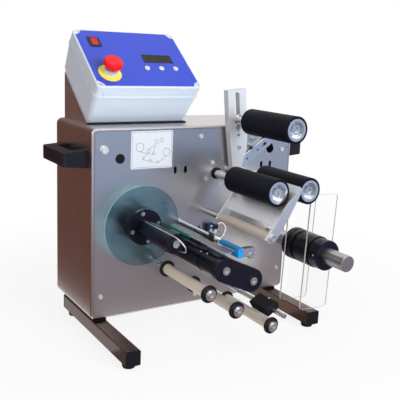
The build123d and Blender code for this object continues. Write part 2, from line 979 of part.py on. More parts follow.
# Motor behind the gear plate, with the double pulley on its shaft
motor_size = 57
motor_corner = 5
motor_long = 76
motor_shaft_radius = 4
belt_wide = 10
belt_thick = 1.5
pulley_flange = 2
pulley_rim = 1
layer_drive = -38
layer_traction = -51
layer_rewind = -64
motor_pulley_radius = 12
drive_pulley_radius = 18
traction_pulley_radius = 16
link_pulley_radius = 12
rewind_pulley_radius = 18
belt_play = 0.1

with BuildPart() as motor:
    block(
        motor_across,
        motor_up,
        motor_size,
        motor_size,
        gear_back - motor_long,
        gear_back,
        motor_corner,
    )
    disc(motor_across, motor_up, motor_pilot, gear_back, -gear_plate_depth)
    bore(
        motor_across,
        motor_up,
        motor_shaft_radius + fit,
        gear_back - motor_long / 2,
        -gear_plate_depth + cut_over,
    )
save(motor, "motor")


def pulley(across, up, radius, layer):
    """Flanged pulley about a fore-and-aft axis, its belt centred on the layer."""
    half_wide = belt_wide / 2 + belt_play
    disc(across, up, radius, layer - half_wide, layer + half_wide)
    for start in (layer - half_wide - pulley_rim, layer + half_wide):
        disc(across, up, radius + pulley_flange, start, start + pulley_rim)


with BuildPart() as motor_shaft:
    disc(
        motor_across,
        motor_up,
        motor_shaft_radius,
        gear_back - motor_long / 2 + seat,
        layer_drive + belt_wide,
    )
    pulley(motor_across, motor_up, motor_pulley_radius, layer_drive)
    pulley(motor_across, motor_up, motor_pulley_radius, layer_traction)
save(motor_shaft, "motor_shaft")


def belt(start, start_radius, end, end_radius, layer):
    """Closed belt round two pulleys."""
    with BuildPart() as loop:
        for grow, mode in ((belt_thick, Mode.ADD), (0, Mode.SUBTRACT)):
            with BuildSketch(face(0, 0, layer - belt_wide / 2)):
                with Locations(start):
                    Circle(start_radius + belt_play + grow)
                with Locations(end):
                    Circle(end_radius + belt_play + grow)
                make_hull()
            extrude(amount=belt_wide, mode=mode)
    return loop.part


motor_at = (motor_across, motor_up)
drive_at = (drive_across, drive_up)
traction_at = (traction_across, traction_up)
rewind_at = (rewind_across, rewind_up)
belt_solids = [
    belt(motor_at, motor_pulley_radius, drive_at, drive_pulley_radius, layer_drive),
    belt(motor_at, motor_pulley_radius, traction_at, traction_pulley_radius, layer_traction),
    belt(traction_at, link_pulley_radius, rewind_at, rewind_pulley_radius, layer_rewind),
]
with BuildPart() as belts:
    for solid in belt_solids:
        add(solid)
save(belts, "belts")

# Bearing housings on the plate's back, with a ball bearing in each, and bushes in the gear plate
housing_flange = 31
housing_flange_thick = 6
housing_boss = 21
housing_deep = 24
bearing_radius = 17
bearing_wide = 9
bush_out = 2

arm_bush_flange = 11
arm_bush_thick = 10

with BuildPart() as bearing_housings:
    for across, up, radius in turning_shafts:
        rear = -plate_thick - housing_deep
        disc(across, up, housing_flange, -plate_thick - housing_flange_thick, -plate_thick)
        disc(across, up, housing_boss, rear, -plate_thick)
        bore(across, up, radius + seat, rear, -plate_thick)
        bore(across, up, bearing_radius, rear, rear + bearing_wide)
    for across, up in housing_screw_places:
        bore(across, up, screw_hole, rear, -plate_thick)
    disc(pivot_across, pivot_up, arm_bush_flange, -plate_thick - arm_bush_thick, -plate_thick)
    bore(pivot_across, pivot_up, arm_pivot_radius + fit, -plate_thick - arm_bush_thick, -plate_thick)

with BuildPart() as shaft_bearings:
    for across, up, radius in turning_shafts:
        disc(across, up, bearing_radius, rear, rear + bearing_wide)
        bore(across, up, radius + fit, rear, rear + bearing_wide)
        disc(across, up, bush_radius, gear_back - bush_out, -gear_plate_depth + bush_out)
        bore(across, up, radius + fit, gear_back - bush_out, -gear_plate_depth + bush_out)
    add(bearing_housings.part)
save(shaft_bearings, "bearing_housings")

# Power inlet in the rear cover
with BuildPart() as power_inlet:
    flange_back = cover_back - inlet_flange_thick
    block(
        inlet_across,
        inlet_up,
        inlet_width + 2 * inlet_flange,
        inlet_height + 2 * inlet_flange,
        flange_back,
        cover_back,
        inlet_flange,
    )
    block(inlet_across, inlet_up, inlet_width, inlet_height, cover_back, cover_back + inlet_deep)
    block(
        inlet_across,
        inlet_up + inlet_flange,
        inlet_width - 2 * inlet_flange,
        inlet_height / 2,
        flange_back - cut_over,
        flange_back + inlet_deep / 2,
        mode=Mode.SUBTRACT,
    )
    add(switch_frame.part)
save(power_inlet, "power_fittings")

# Drive roller: driven steel shaft, aluminium core and rubber sleeve
core_wall = 5
end_recess = 12
hub_radius = 9
hub_back = 3
centre_hole = 2.5
seal_radius = 12.5
seal_thick = 3.5
sleeve_edge = 1


def roller_core(across, up, hole):
    """Turned core: solid web with recessed ends, a raised rim and a hub."""
    disc(across, up, core_radius, roller_start, roller_end)
    for start, finish in (
        (roller_start - cut_over, roller_start + end_recess),
        (roller_end - end_recess, roller_end + cut_over),
    ):
        bore(across, up, core_radius - core_wall, start, finish)
    disc(across, up, hub_radius, roller_start, roller_end - hub_back)
    bore(across, up, hole, roller_start - cut_over, roller_end + cut_over)


def rubber_sleeve(across, up):
    """Rubber tube over a roller core, with its edges taken off."""
    with BuildPart() as sleeve:
        disc(across, up, roller_radius, roller_start, roller_end)
        chamfer(sleeve.edges().filter_by(GeomType.CIRCLE), sleeve_edge)
        bore(across, up, core_radius, roller_start - cut_over, roller_end + cut_over)
    return sleeve


with BuildPart() as drive_shaft:
    roller_core(drive_across, drive_up, centre_hole)
    disc(drive_across, drive_up, drive_shaft_radius, gear_back - bush_out, roller_end - hub_back)
    hex_socket(drive_across, drive_up, socket_size, end_recess / 2, roller_end - hub_back)
    pulley(drive_across, drive_up, drive_pulley_radius, layer_drive)
save(drive_shaft, "drive_shaft")
drive_sleeve = rubber_sleeve(drive_across, drive_up)
save(drive_sleeve, "drive_sleeve")

# Support roller: runs free on a fixed axle
with BuildPart() as support_core:
    roller_core(support_across, support_up, small_axle_radius + fit)
save(support_core, "support_core")
support_sleeve = rubber_sleeve(support_across, support_up)
save(support_sleeve, "support_sleeve")

# Top roller: runs on an axle that is clamped in the arm's slot
washer_radius = 11
washer_thick = 3
slot_play = 0.1
slot_half = small_axle_radius + slot_play
slot_low = 88
slot_high = 173

with BuildPart() as top_core:
    roller_core(press_across, press_up, small_axle_radius + fit)
save(top_core, "top_core")
top_sleeve = rubber_sleeve(press_across, press_up)
save(top_sleeve, "top_sleeve")

with BuildPart() as top_axle:
    disc(
        press_across,
        press_up,
        small_axle_radius,
        arm_back - nut_high + sleeve_edge / 2,
        roller_end - 2 * hub_back,
    )
    disc(press_across, press_up, washer_radius, arm_front + seat, arm_front + washer_thick)
    disc(
        press_across,
        press_up,
        nut_radius,
        arm_front + washer_thick,
        arm_front + washer_thick + nut_high,
    )
    disc(press_across, press_up, nut_radius, arm_back - nut_high + sleeve_edge / 2, arm_back - seat)
    disc(press_across, press_up, nut_radius, roller_start - washer_thick - seat, roller_start - seat)
save(top_axle, "top_axle")

# Pressure arm: plate with a long slot, a slotted link and the pivot with its crank
arm_neck_share = 0.59
arm_step_share = 0.45
arm_foot = 15
arm_right_low_share = 0.9
foot_right_share = 0.5
foot_left_share = 0.9
arm_hole = 3
arm_screw_head = 5
arm_screw_proud = 2
arm_hole_share = 0.447
arm_screw_share = 0.294
link_small_hole = 2.2
link_half = 11
link_front = arm_back
link_back = 3
link_slot_start = 88
link_slot_end = 104
link_slot_wide = 7
link_holes = (42, 76)
crank_front = -30
crank_thick = 5
crank_long = 40
crank_pin = 16
crank_half = 8
arm_spacer = 12

with BuildPart() as arm_plate:
    with BuildSketch(face(pivot_across, pivot_up, arm_back, arm_lean)):
        with BuildLine():
            Polyline(
                (-arm_left, arm_top),
                (arm_right, arm_top),
                (arm_right, arm_top * arm_step_share),
                (arm_right * arm_right_low_share, arm_top * arm_step_share * arm_neck_share),
                (arm_foot * foot_right_share, 0),
                (-arm_foot * foot_left_share, 0),
                (-arm_left, arm_top * arm_neck_share),
                close=True,
            )
        make_face()
        Circle(arm_foot)
    extrude(amount=arm_front - arm_back)
    with BuildSketch(face(pivot_across, pivot_up, arm_back - cut_over, arm_lean)):
        with Locations((press_side, (slot_low + slot_high) / 2)):
            SlotOverall(slot_high - slot_low, 2 * slot_half, rotation=90)
        with Locations([(press_side, share * arm_top) for share in (arm_hole_share, arm_screw_share)]):
            Circle(arm_hole)
        Circle(arm_pivot_radius)
    extrude(amount=arm_front - arm_back + 2 * cut_over, mode=Mode.SUBTRACT)
save(arm_plate, "arm_plate")

with BuildPart() as arm_link:
    with BuildSketch(face(pivot_across, pivot_up, link_back, link_angle)):
        with Locations(((link_reach) / 2, 0)):
            SlotCenterToCenter(link_reach, 2 * link_half)
        Circle(arm_foot)
    extrude(amount=link_front - link_back)
    with BuildSketch(face(pivot_across, pivot_up, link_back - cut_over, link_angle)):
        with Locations(((link_slot_start + link_slot_end) / 2, 0)):
            SlotOverall(link_slot_end - link_slot_start, link_slot_wide)
        with Locations([(reach, 0) for reach in link_holes]):
            Circle(link_small_hole)
        Circle(arm_pivot_radius)
    extrude(amount=link_front - link_back + 2 * cut_over, mode=Mode.SUBTRACT)
    with BuildSketch(face(pivot_across, pivot_up, link_back, link_angle)):
        with Locations((link_reach, 0)):
            Circle(pin_radius)
    extrude(amount=-link_back - plate_thick - nut_high)

with BuildPart() as arm_pivot:
    disc(pivot_across, pivot_up, arm_pivot_radius, crank_front - crank_thick, arm_front)
    disc(pivot_across, pivot_up, arm_pivot_radius + cut_over, arm_front, arm_front + head_high)
    with BuildSketch(face(pivot_across, pivot_up, crank_front - crank_thick)):
        with Locations((crank_long / 2, 0)):
            SlotCenterToCenter(crank_long, 2 * crank_half)
    extrude(amount=crank_thick)
    disc(pivot_across, pivot_up, arm_spacer, seat, link_back)
    disc(pivot_across + crank_long, pivot_up, pin_radius, crank_front, crank_front + crank_pin)
    screw_across, screw_up = on_arm(arm_screw_share * arm_top)
    disc(screw_across, screw_up, arm_hole - fit, arm_back, arm_front)
    disc(screw_across, screw_up, arm_screw_head, arm_front, arm_front + arm_screw_proud)
    hex_socket(screw_across, screw_up, arm_hole, arm_screw_proud / 2, arm_front + arm_screw_proud)
    add(arm_link.part)
save(arm_pivot, "arm_link")

# Spring that pulls the arm back: a coil between the crank's pin and a post above it
coil_radius = 7
coil_wire = 1.2
coil_turns = 9
spring_long = 76
anchor_radius = 4

spring_across = pivot_across + crank_long
spring_low = pivot_up + pin_radius
spring_top = spring_low + spring_long
spring_forward = crank_front + crank_pin / 2

with BuildPart() as arm_spring:
    pitch = spring_long / coil_turns
    spring_plane = Plane(
        origin=(left_x + spring_across, plate_y - spring_forward, base_z + spring_low),
        x_dir=(1, 0, 0),
        z_dir=(0, -1, 0),
    )
    with BuildSketch(spring_plane):
        with BuildLine():
            outer_side = []
            for turn in range(coil_turns):
                outer_side.append((coil_radius - coil_wire, turn * pitch))
                outer_side.append((coil_radius, turn * pitch + pitch / 2))
            outer_side.append((coil_radius - coil_wire, coil_turns * pitch))
            inner_side = [(x - 2 * coil_wire, y) for x, y in reversed(outer_side)]
            Polyline(*outer_side, *inner_side, close=True)
        make_face()
    revolve(axis=Axis(spring_plane.origin, (0, 0, 1)))
save(arm_spring, "arm_spring")

# Rewinder: clear disc on a hub, the mandrel with its spring clip, and the slipping pulley inside
disc_back = 24
disc_thick = 4
hub_outer = 37.5
hub_front = 40
hub_ring = 30
hub_turn = 13
spacer_radius = 20
clip_wire = 1.5
clip_turn = 25
clip_straight = 8
clip_loop = 30
loop_from = 90
loop_turn = -180
clip_low = 14
clip_hole_deep = 10
end_screw_radius = 7.5
end_screw_high = 4
clutch_radius = 13
clutch_thick = 2

with BuildPart() as rewind_shaft:
    disc(rewind_across, rewind_up, traction_shaft_radius, gear_back - bush_out, mandrel_end)
    disc(rewind_across, rewind_up, spacer_radius, seat, disc_back)
    half_layer = belt_wide / 2 + belt_play + pulley_rim + seat
    disc(
        rewind_across,
        rewind_up,
        clutch_radius,
        layer_rewind + half_layer,
        layer_rewind + half_layer + clutch_thick,
    )
    disc(rewind_across, rewind_up, end_screw_radius, mandrel_end, mandrel_end + end_screw_high)
    hex_socket(rewind_across, rewind_up, socket_size, socket_deep, mandrel_end + end_screw_high)

with BuildPart() as rewind_pulley:
    pulley(rewind_across, rewind_up, rewind_pulley_radius, layer_rewind)
    bore(
        rewind_across,
        rewind_up,
        traction_shaft_radius + fit,
        layer_rewind - belt_wide,
        layer_rewind + belt_wide,
    )
save(rewind_pulley, "rewind_pulley")

with BuildPart() as rewind_disc:
    disc(rewind_across, rewind_up, disc_radius, disc_back, disc_back + disc_thick)
    bore(
        rewind_across,
        rewind_up,
        traction_shaft_radius,
        disc_back - cut_over,
        disc_back + disc_thick + cut_over,
    )
save(rewind_disc, "rewind_disc")

hub_screw_places = [
    (
        rewind_across + hub_ring * cos(radians(hub_turn + n * 360 / housing_screws)),
        rewind_up + hub_ring * sin(radians(hub_turn + n * 360 / housing_screws)),
    )
    for n in range(housing_screws)
]

groove_play = 0.5
groove_wide = 2 * clip_wire + groove_play
groove_deep = 3.2
clip_high = mandrel_radius - groove_deep + clip_wire

with BuildPart() as rewind_mandrel:
    disc(rewind_across, rewind_up, mandrel_radius, disc_back + disc_thick, mandrel_end)
    chamfer(rewind_mandrel.faces().sort_by(Axis.Y)[0].edges(), sleeve_edge)
    disc(rewind_across, rewind_up, hub_outer, disc_back + disc_thick, hub_front)
    bore(rewind_across, rewind_up, traction_shaft_radius, disc_back, mandrel_end + cut_over)
    for across, up in hub_screw_places:
        bore(across, up, head_radius, hub_front - head_high, hub_front + cut_over)
    with BuildSketch(face(rewind_across, rewind_up, hub_front, clip_turn)):
        with Locations((0, mandrel_radius)):
            Rectangle(groove_wide, 2 * groove_deep)
    extrude(amount=mandrel_end - hub_front + cut_over, mode=Mode.SUBTRACT)
    with BuildSketch(face(rewind_across, rewind_up, mandrel_end + cut_over, clip_turn)):
        with Locations((0, -clip_low)):
            Circle(clip_wire + fit)
    extrude(amount=-clip_hole_deep - 2 * cut_over, mode=Mode.SUBTRACT)
save(rewind_mandrel, "rewind_mandrel")

mandrel_face = face(rewind_across, rewind_up, hub_front, clip_turn)
clip_plane = Plane(origin=mandrel_face.origin, x_dir=mandrel_face.z_dir, z_dir=-mandrel_face.x_dir)
with BuildPart() as rewind_clip:
    straight = mandrel_end - hub_front
    with BuildLine(clip_plane) as clip_path:
        Line((0, clip_high), (straight + clip_straight, clip_high))
        EllipticalCenterArc(
            (straight + clip_straight, (clip_high - clip_low) / 2),
            clip_loop,
            (clip_high + clip_low) / 2,
            loop_from,
            arc_size=loop_turn,
        )
        Line((straight + clip_straight, -clip_low), (straight - clip_hole_deep, -clip_low))
    with BuildSketch(Plane(origin=clip_path.line @ 0, z_dir=clip_path.line % 0)):
        Circle(clip_wire)
    sweep(path=clip_path.line)

with BuildPart() as rewind_steel:
    add(rewind_shaft.part)
    add(rewind_clip.part)
    for across, up in hub_screw_places:
        disc(across, up, head_radius - fit, hub_front - head_high, hub_front + head_high / 2)
save(rewind_steel, "rewind_shaft")

# Traction pair: the driven roller, and a guide roller hung between two oval plates
carrier_back = 33
carrier_front = 43
end_plate_back = 225
end_plate_front = 240
end_plate_half = 23.5
journal_radius = 5
bolt_head_radius = 8
bolt_head_high = 4
ring_radius = 17
ring_wide = 3
ring_deep = 1
ring_at = 170
carrier_boss = 15
guide_axle_radius = 5
guide_roller_radius = 20
roller_side_play = 1
roller_first = carrier_front + roller_side_play
roller_last = end_plate_back - roller_side_play

with BuildPart() as traction_shaft:
    disc(
        traction_across,
        traction_up,
        traction_shaft_radius,
        gear_back - bush_out,
        end_plate_back - seat,
    )
    disc(traction_across, traction_up, journal_radius, end_plate_back - seat, end_plate_front + seat)
    bolt_back = end_plate_front + seat
    disc(traction_across, traction_up, bolt_head_radius, bolt_back, bolt_back + bolt_head_high)
    hex_socket(traction_across, traction_up, socket_size, socket_deep, bolt_back + bolt_head_high)
    pulley(traction_across, traction_up, traction_pulley_radius, layer_traction)
    pulley(traction_across, traction_up, link_pulley_radius, layer_rewind)
save(traction_shaft, "traction_shaft")

with BuildPart() as traction_sleeve:
    disc(traction_across, traction_up, traction_radius, roller_first, roller_last)
    bore(traction_across, traction_up, traction_shaft_radius, roller_first, roller_last)
save(traction_sleeve, "traction_sleeve")

with BuildPart() as guide_roller:
    disc(guide_across, guide_up, guide_roller_radius, roller_first, roller_last)
    disc(guide_across, guide_up, guide_roller_radius + ring_deep, ring_at, ring_at + ring_wide)
    bore(guide_across, guide_up, guide_axle_radius + fit, roller_first, roller_last)
save(guide_roller, "guide_roller")

middle_across = (traction_across + guide_across) / 2
middle_up = (traction_up + guide_up) / 2
plate_turn = degrees(atan2(-guide_rise, guide_left))
pair_pitch = hypot(guide_left, guide_rise)


def oval_plate(rear, front):
    """Oval plate that spans both rollers of the pair."""
    with BuildSketch(face(middle_across, middle_up, rear, plate_turn)) as oval:
        SlotCenterToCenter(pair_pitch, 2 * end_plate_half)
    extrude(oval.sketch, amount=front - rear)


with BuildPart() as roller_carrier:
    oval_plate(end_plate_back, end_plate_front)
    chamfer(roller_carrier.faces().sort_by(Axis.Y)[0].edges(), sleeve_edge)
    oval_plate(carrier_back, carrier_front)
    disc(traction_across, traction_up, carrier_boss, 0, carrier_back)
    bore(traction_across, traction_up, ring_radius, end_plate_front - ring_deep, end_plate_front)
    disc(
        traction_across,
        traction_up,
        ring_radius - ring_wide,
        end_plate_front - ring_deep,
        end_plate_front,
    )
    bore(traction_across, traction_up, journal_radius + fit, end_plate_back, end_plate_front)
    bore(traction_across, traction_up, traction_shaft_radius + seat, 0, carrier_front)
    bore(guide_across, guide_up, guide_axle_radius, carrier_back, end_plate_front)
save(roller_carrier, "roller_carrier")

# Web rollers: beige tubes that run free between black flanges on their axles
spacer_out = 3
web_flange_radius = 17
web_flange_back = 68
web_flange_thick = 4
web_collar_radius = 11
web_collar_thick = 6
web_nut_radius = 7.5
web_nut_thick = 4
web_collar_back = web_roller_end + web_flange_thick
web_axle_end = web_collar_back + web_collar_thick + web_nut_thick


def web_roller(across, up):
    """Plastic tube on its axle, with play to the flanges at both ends."""
    with BuildPart() as tube:
        first = web_flange_back + web_flange_thick + seat
        last = web_roller_end - seat
        disc(across, up, web_roller_radius, first, last)
        bore(across, up, web_axle_radius + fit, first, last)
    return tube


for label, (across, up) in zip(("web_roller_1", "web_roller_2", "web_roller_3"), web_places):
    save(web_roller(across, up), label)

with BuildPart() as web_flanges:
    for across, up in web_places:
        for start in (web_flange_back, web_roller_end):
            disc(across, up, web_flange_radius, start, start + web_flange_thick)
        bore(across, up, web_axle_radius, web_flange_back, web_roller_end + web_flange_thick)
save(web_flanges, "web_flanges")

# Peel unit: shaft, two levers, the roller between them and the steel peel plate
lever_back = 58
lever_thick = 6
lever_front = 232
lever_half = 11
lever_tip_half = 3
peel_long = 113
peel_angle = 54.9
peel_plate_start = 22
peel_plate_thick = 2
peel_roller_radius = 10
lever_heel_share = 0.3
lever_waist_share = 0.85
lever_bend_share = 0.45

with BuildPart() as peel_levers:
    for start in (lever_back, lever_front):
        with BuildSketch(face(peel_across, peel_up, start, peel_angle)):
            with BuildLine():
                Polyline(
                    (-lever_half, -lever_half * lever_heel_share),
                    (0, -lever_half),
                    (peel_long * lever_bend_share, -lever_half * lever_waist_share),
                    (peel_long, -lever_tip_half),
                    (peel_long, lever_tip_half),
                    (peel_long * lever_bend_share, lever_half),
                    (-lever_half, lever_half),
                    close=True,
                )
            make_face()
            Circle(web_axle_radius, mode=Mode.SUBTRACT)
        extrude(amount=lever_thick)
    with BuildSketch(face(peel_across, peel_up, lever_back + lever_thick, peel_angle)):
        with BuildLine():
            Polyline(
                (peel_plate_start, -peel_plate_thick / 2),
                (peel_long, -peel_plate_thick / 2),
                (peel_long + lever_tip_half, 0),
                (peel_long, peel_plate_thick / 2),
                (peel_plate_start, peel_plate_thick / 2),
                close=True,
            )
        make_face()
    extrude(amount=lever_front - lever_back - lever_thick)
save(peel_levers, "peel_levers")

with BuildPart() as peel_roller:
    disc(peel_across, peel_up, peel_roller_radius, lever_back + lever_thick + seat, lever_front - seat)
    bore(peel_across, peel_up, web_axle_radius + fit, lever_back, lever_front + cut_over)
save(peel_roller, "peel_roller")

# Label table: narrow folded plate under the web, with its coloured edge trim
table_before_guide = 7
table_rise = 36
table_wide = 18
table_thick = 2
table_start = 31
table_reach = 246
table_flange = 26
trim_thick = 2
trim_high = 5
trim_end = 122

table_left = guide_across - table_before_guide
table_top = guide_up + table_rise
with BuildPart() as label_table:
    middle = table_left + table_wide / 2
    flange_front = carrier_front + table_thick
    block(middle, table_top - table_thick / 2, table_wide, table_thick, table_start, table_reach)
    block(middle, table_top - table_flange / 2, table_wide, table_flange, carrier_front, flange_front)
    bore(guide_across, guide_up, guide_roller_radius + roller_side_play, carrier_front, flange_front)
save(label_table, "label_table")

with BuildPart() as table_trim:
    trim_up = table_top - table_thick / 2
    block(table_left - trim_thick / 2, trim_up, trim_thick, trim_high, table_start, trim_end)
save(table_trim, "table_trim")

# Sensor: rod, clamp with its knob, fork on a holder, and the terminal on the plate
clamp_back = 126
clamp_thick = 20
clamp_wide = 20
clamp_high = 24
clamp_rise = 3
knob_radius = 4
knob_stem_share = 0.6
knob_high = 14
knob_cap = 6
fork_left = 24
fork_wide = 11
fork_rise = 16
fork_arm = 5
fork_gap = 8
fork_back = 192
fork_closed = 246
fork_front = 258
holder_wide = 16
terminal_right = 6
terminal_drop = 45
terminal_wide = 17
terminal_high = 35
terminal_deep = 12

with BuildPart() as sensor_clamp:
    block(
        rod_across,
        rod_up + clamp_rise,
        clamp_wide,
        clamp_high,
        clamp_back,
        clamp_back + clamp_thick,
        knob_radius / 2,
    )
    bore(rod_across, rod_up, rod_radius, clamp_back - cut_over, clamp_back + clamp_thick + cut_over)

clamp_top = rod_up + clamp_rise + clamp_high / 2
knob_plane = Plane(
    origin=(left_x + rod_across, plate_y - clamp_back - clamp_thick / 2, base_z + clamp_top)
)
with BuildPart() as clamp_knob:
    post(knob_plane, knob_radius * knob_stem_share, knob_high)
    post(knob_plane.offset(knob_high - knob_cap), knob_radius, knob_cap)
    post(knob_plane, knob_radius, cut_over)

fork_right = rod_across - fork_left
fork_top = rod_up + fork_rise
fork_low = fork_top - 2 * fork_arm - fork_gap
with BuildPart() as sensor_fork:
    block(fork_right, fork_top - fork_arm / 2, fork_wide, fork_arm, fork_back, fork_front, cut_over)
    block(fork_right, fork_low + fork_arm / 2, fork_wide, fork_arm, fork_back, fork_front, cut_over)
    block(
        fork_right,
        (fork_top + fork_low) / 2,
        fork_wide,
        fork_top - fork_low,
        fork_closed,
        fork_front,
        cut_over,
    )
save(sensor_fork, "sensor_fork")

with BuildPart() as sensor_holder:
    left_side = fork_right + fork_wide / 2
    holder_reach = rod_across + rod_radius + fork_arm / 2 - left_side
    holder_mid = (fork_top + fork_low) / 2
    block(
        left_side + holder_reach / 2,
        holder_mid,
        holder_reach,
        holder_wide,
        fork_closed,
        fork_front,
        cut_over,
    )
    bore(rod_across, rod_up, rod_radius + fit, fork_closed - cut_over, fork_front + cut_over)
    add(sensor_clamp.part)
    add(clamp_knob.part)
save(sensor_holder, "sensor_clamp")

with BuildPart() as terminal_block:
    terminal_across = peel_across + terminal_right
    terminal_up = peel_up - terminal_drop
    block(terminal_across, terminal_up, terminal_wide, terminal_high, 0, terminal_deep, sleeve_edge)
save(terminal_block, "terminal_block")

# Brake block on its rod, over the last web roller, with a notched edge
brake_back = 150
brake_front = 204
brake_wide = 34.5
brake_thick = 20
brake_angle = 32
brake_left = 2
brake_rise = 3.4
brake_round = 8
notch_pitch = 6
notch_deep = 4
notch_wide = 3


def brake_plane(forward):
    """Plane across the tilted block."""
    return face(brake_rod_across - brake_left, brake_rod_up + brake_rise, forward, brake_angle)


with BuildPart() as brake_block:
    with BuildSketch(brake_plane(brake_back)) as brake_outline:
        Rectangle(brake_wide, brake_thick)
        fillet(brake_outline.vertices().group_by(Axis.X)[-1], brake_round)
    extrude(amount=brake_front - brake_back)
    bore(
        brake_rod_across,
        brake_rod_up,
        brake_rod_radius + fit,
        brake_back - cut_over,
        brake_front + cut_over,
    )
    for notch in range(int((brake_front - brake_back) / notch_pitch)):
        with BuildSketch(brake_plane(brake_back + notch * notch_pitch + notch_wide / 2)):
            with Locations((-brake_wide / 2, 0)):
                Rectangle(2 * notch_deep, brake_thick + 2 * cut_over)
        extrude(amount=notch_wide, mode=Mode.SUBTRACT)
save(brake_block, "brake_block")

# Label-roll holder: fixed shaft with a flange, a core drum with collars and two clear guide plates
roll_flange_radius = 36
roll_flange_thick = 10
drum_radius = 35
drum_groove_back = 118
drum_groove_wide = 6
drum_groove_deep = 4
roll_collar_radius = 36
roll_collar_thick = 12
front_collar_radius = 33
front_collar_thick = 28
guide_back = 100
guide_thick = 4
guide_front = 168
guide_wide = 74
guide_high = 256
guide_corner = 8
guide_lean = 2

with BuildPart() as roll_shaft:
    disc(roll_across, roll_up, roll_shaft_radius, -plate_thick - roll_flange_thick, roll_reach)
    chamfer(roll_shaft.faces().sort_by(Axis.Y)[0].edges(), sleeve_edge)
    disc(roll_across, roll_up, roll_flange_radius, -plate_thick - roll_flange_thick, -plate_thick)
save(roll_shaft, "roll_shaft")

with BuildPart() as roll_drum:
    hole = roll_shaft_radius + fit
    disc(roll_across, roll_up, roll_collar_radius, guide_back - roll_collar_thick, guide_back)
    disc(roll_across, roll_up, drum_radius, guide_back + guide_thick, guide_front)
    groove_front = drum_groove_back + drum_groove_wide
    bore(roll_across, roll_up, drum_radius, drum_groove_back, groove_front)
    disc(roll_across, roll_up, drum_radius - drum_groove_deep, drum_groove_back, groove_front)
    disc(
        roll_across,
        roll_up,
        hole + spacer_out,
        guide_back - cut_over,
        guide_front + guide_thick + cut_over,
    )
    front_from = guide_front + guide_thick
    disc(roll_across, roll_up, front_collar_radius, front_from, front_from + front_collar_thick)
    chamfer(roll_drum.faces().sort_by(Axis.Y)[0].edges(), sleeve_edge)
    bore(
        roll_across,
        roll_up,
        hole,
        guide_back - roll_collar_thick - cut_over,
        front_from + front_collar_thick + cut_over,
    )
save(roll_drum, "roll_drum")

with BuildPart() as roll_guides:
    for start in (guide_back, guide_front):
        block(
            roll_across,
            roll_up,
            guide_wide,
            guide_high,
            start,
            start + guide_thick,
            guide_corner,
            -guide_lean,
        )
        bore(roll_across, roll_up, hole + spacer_out, start - cut_over, start + guide_thick + cut_over)
save(roll_guides, "roll_guides")

# Diagram plate, and the black fittings: leg plugs, pads, feet, hole plugs, drive seal, front strip
diagram_across = 132
diagram_up = 353
diagram_wide = 96
diagram_high = 78
diagram_thick = 0.8
strip_high = console_up
strip_deep = 13

with BuildPart() as diagram_plate:
    block(diagram_across, diagram_up, diagram_wide, diagram_high, 0, diagram_thick, sleeve_edge)
save(diagram_plate, "diagram_plate")

with BuildPart() as black_fittings:
    inner = leg_size - 2 * leg_wall
    for across in leg_places:
        for start, way in ((leg_reach, 1), (-leg_tail, -1)):
            block(across, leg_mid_up, leg_size, leg_size, start, start + way * plug_lip, leg_edge)
            block(across, leg_mid_up, inner, inner, start - way * foot_inset, start)
        block(across, -pad_thick / 2, leg_size, pad_thick, -leg_tail, 0)
    with Locations([(x, y, foot_height) for x, y in foot_places]):
        Cone(
            foot_radius * foot_top_share,
            foot_radius,
            foot_height,
            align=(Align.CENTER, Align.CENTER, Align.MAX),
        )
    disc(plug_across, plug_up, plug_radius, 0, sleeve_edge)
    disc(plug_across, plug_up, plug_radius - cut_over, -plate_thick, 0)
    disc(drive_across, drive_up, seal_radius, 0, seal_thick)
    bore(drive_across, drive_up, drive_shaft_radius + fit, 0, seal_thick)
    with BuildSketch(Plane.XY.offset(base_z + cabinet_height)):
        with Locations((wedge_left + wedge_width / 2, plate_y + console_back - strip_deep / 2)):
            Rectangle(wedge_width, strip_deep)
    extrude(amount=strip_high)
save(black_fittings, "black_fittings")

# Fixed axles and rods: each is pulled against the plate by a nut behind it
def fixed_axle(across, up, radius, reach, nut=nut_radius):
    """Axle from behind the plate to its reach, with its nut."""
    disc(across, up, radius, -plate_thick - nut_high, reach)
    disc(across, up, nut, -plate_thick - nut_high, -plate_thick)


stop_stud_along = 69
stop_stud_radius = 4
stop_stud_reach = 13
stop_bolt_along = 81
stop_bolt_side = 25


def on_link(along, side):
    """Place beside the arm's link, along it from the pivot and square to it."""
    slope = radians(link_angle)
    return (
        pivot_across + along * cos(slope) - side * sin(slope),
        pivot_up + along * sin(slope) + side * cos(slope),
    )


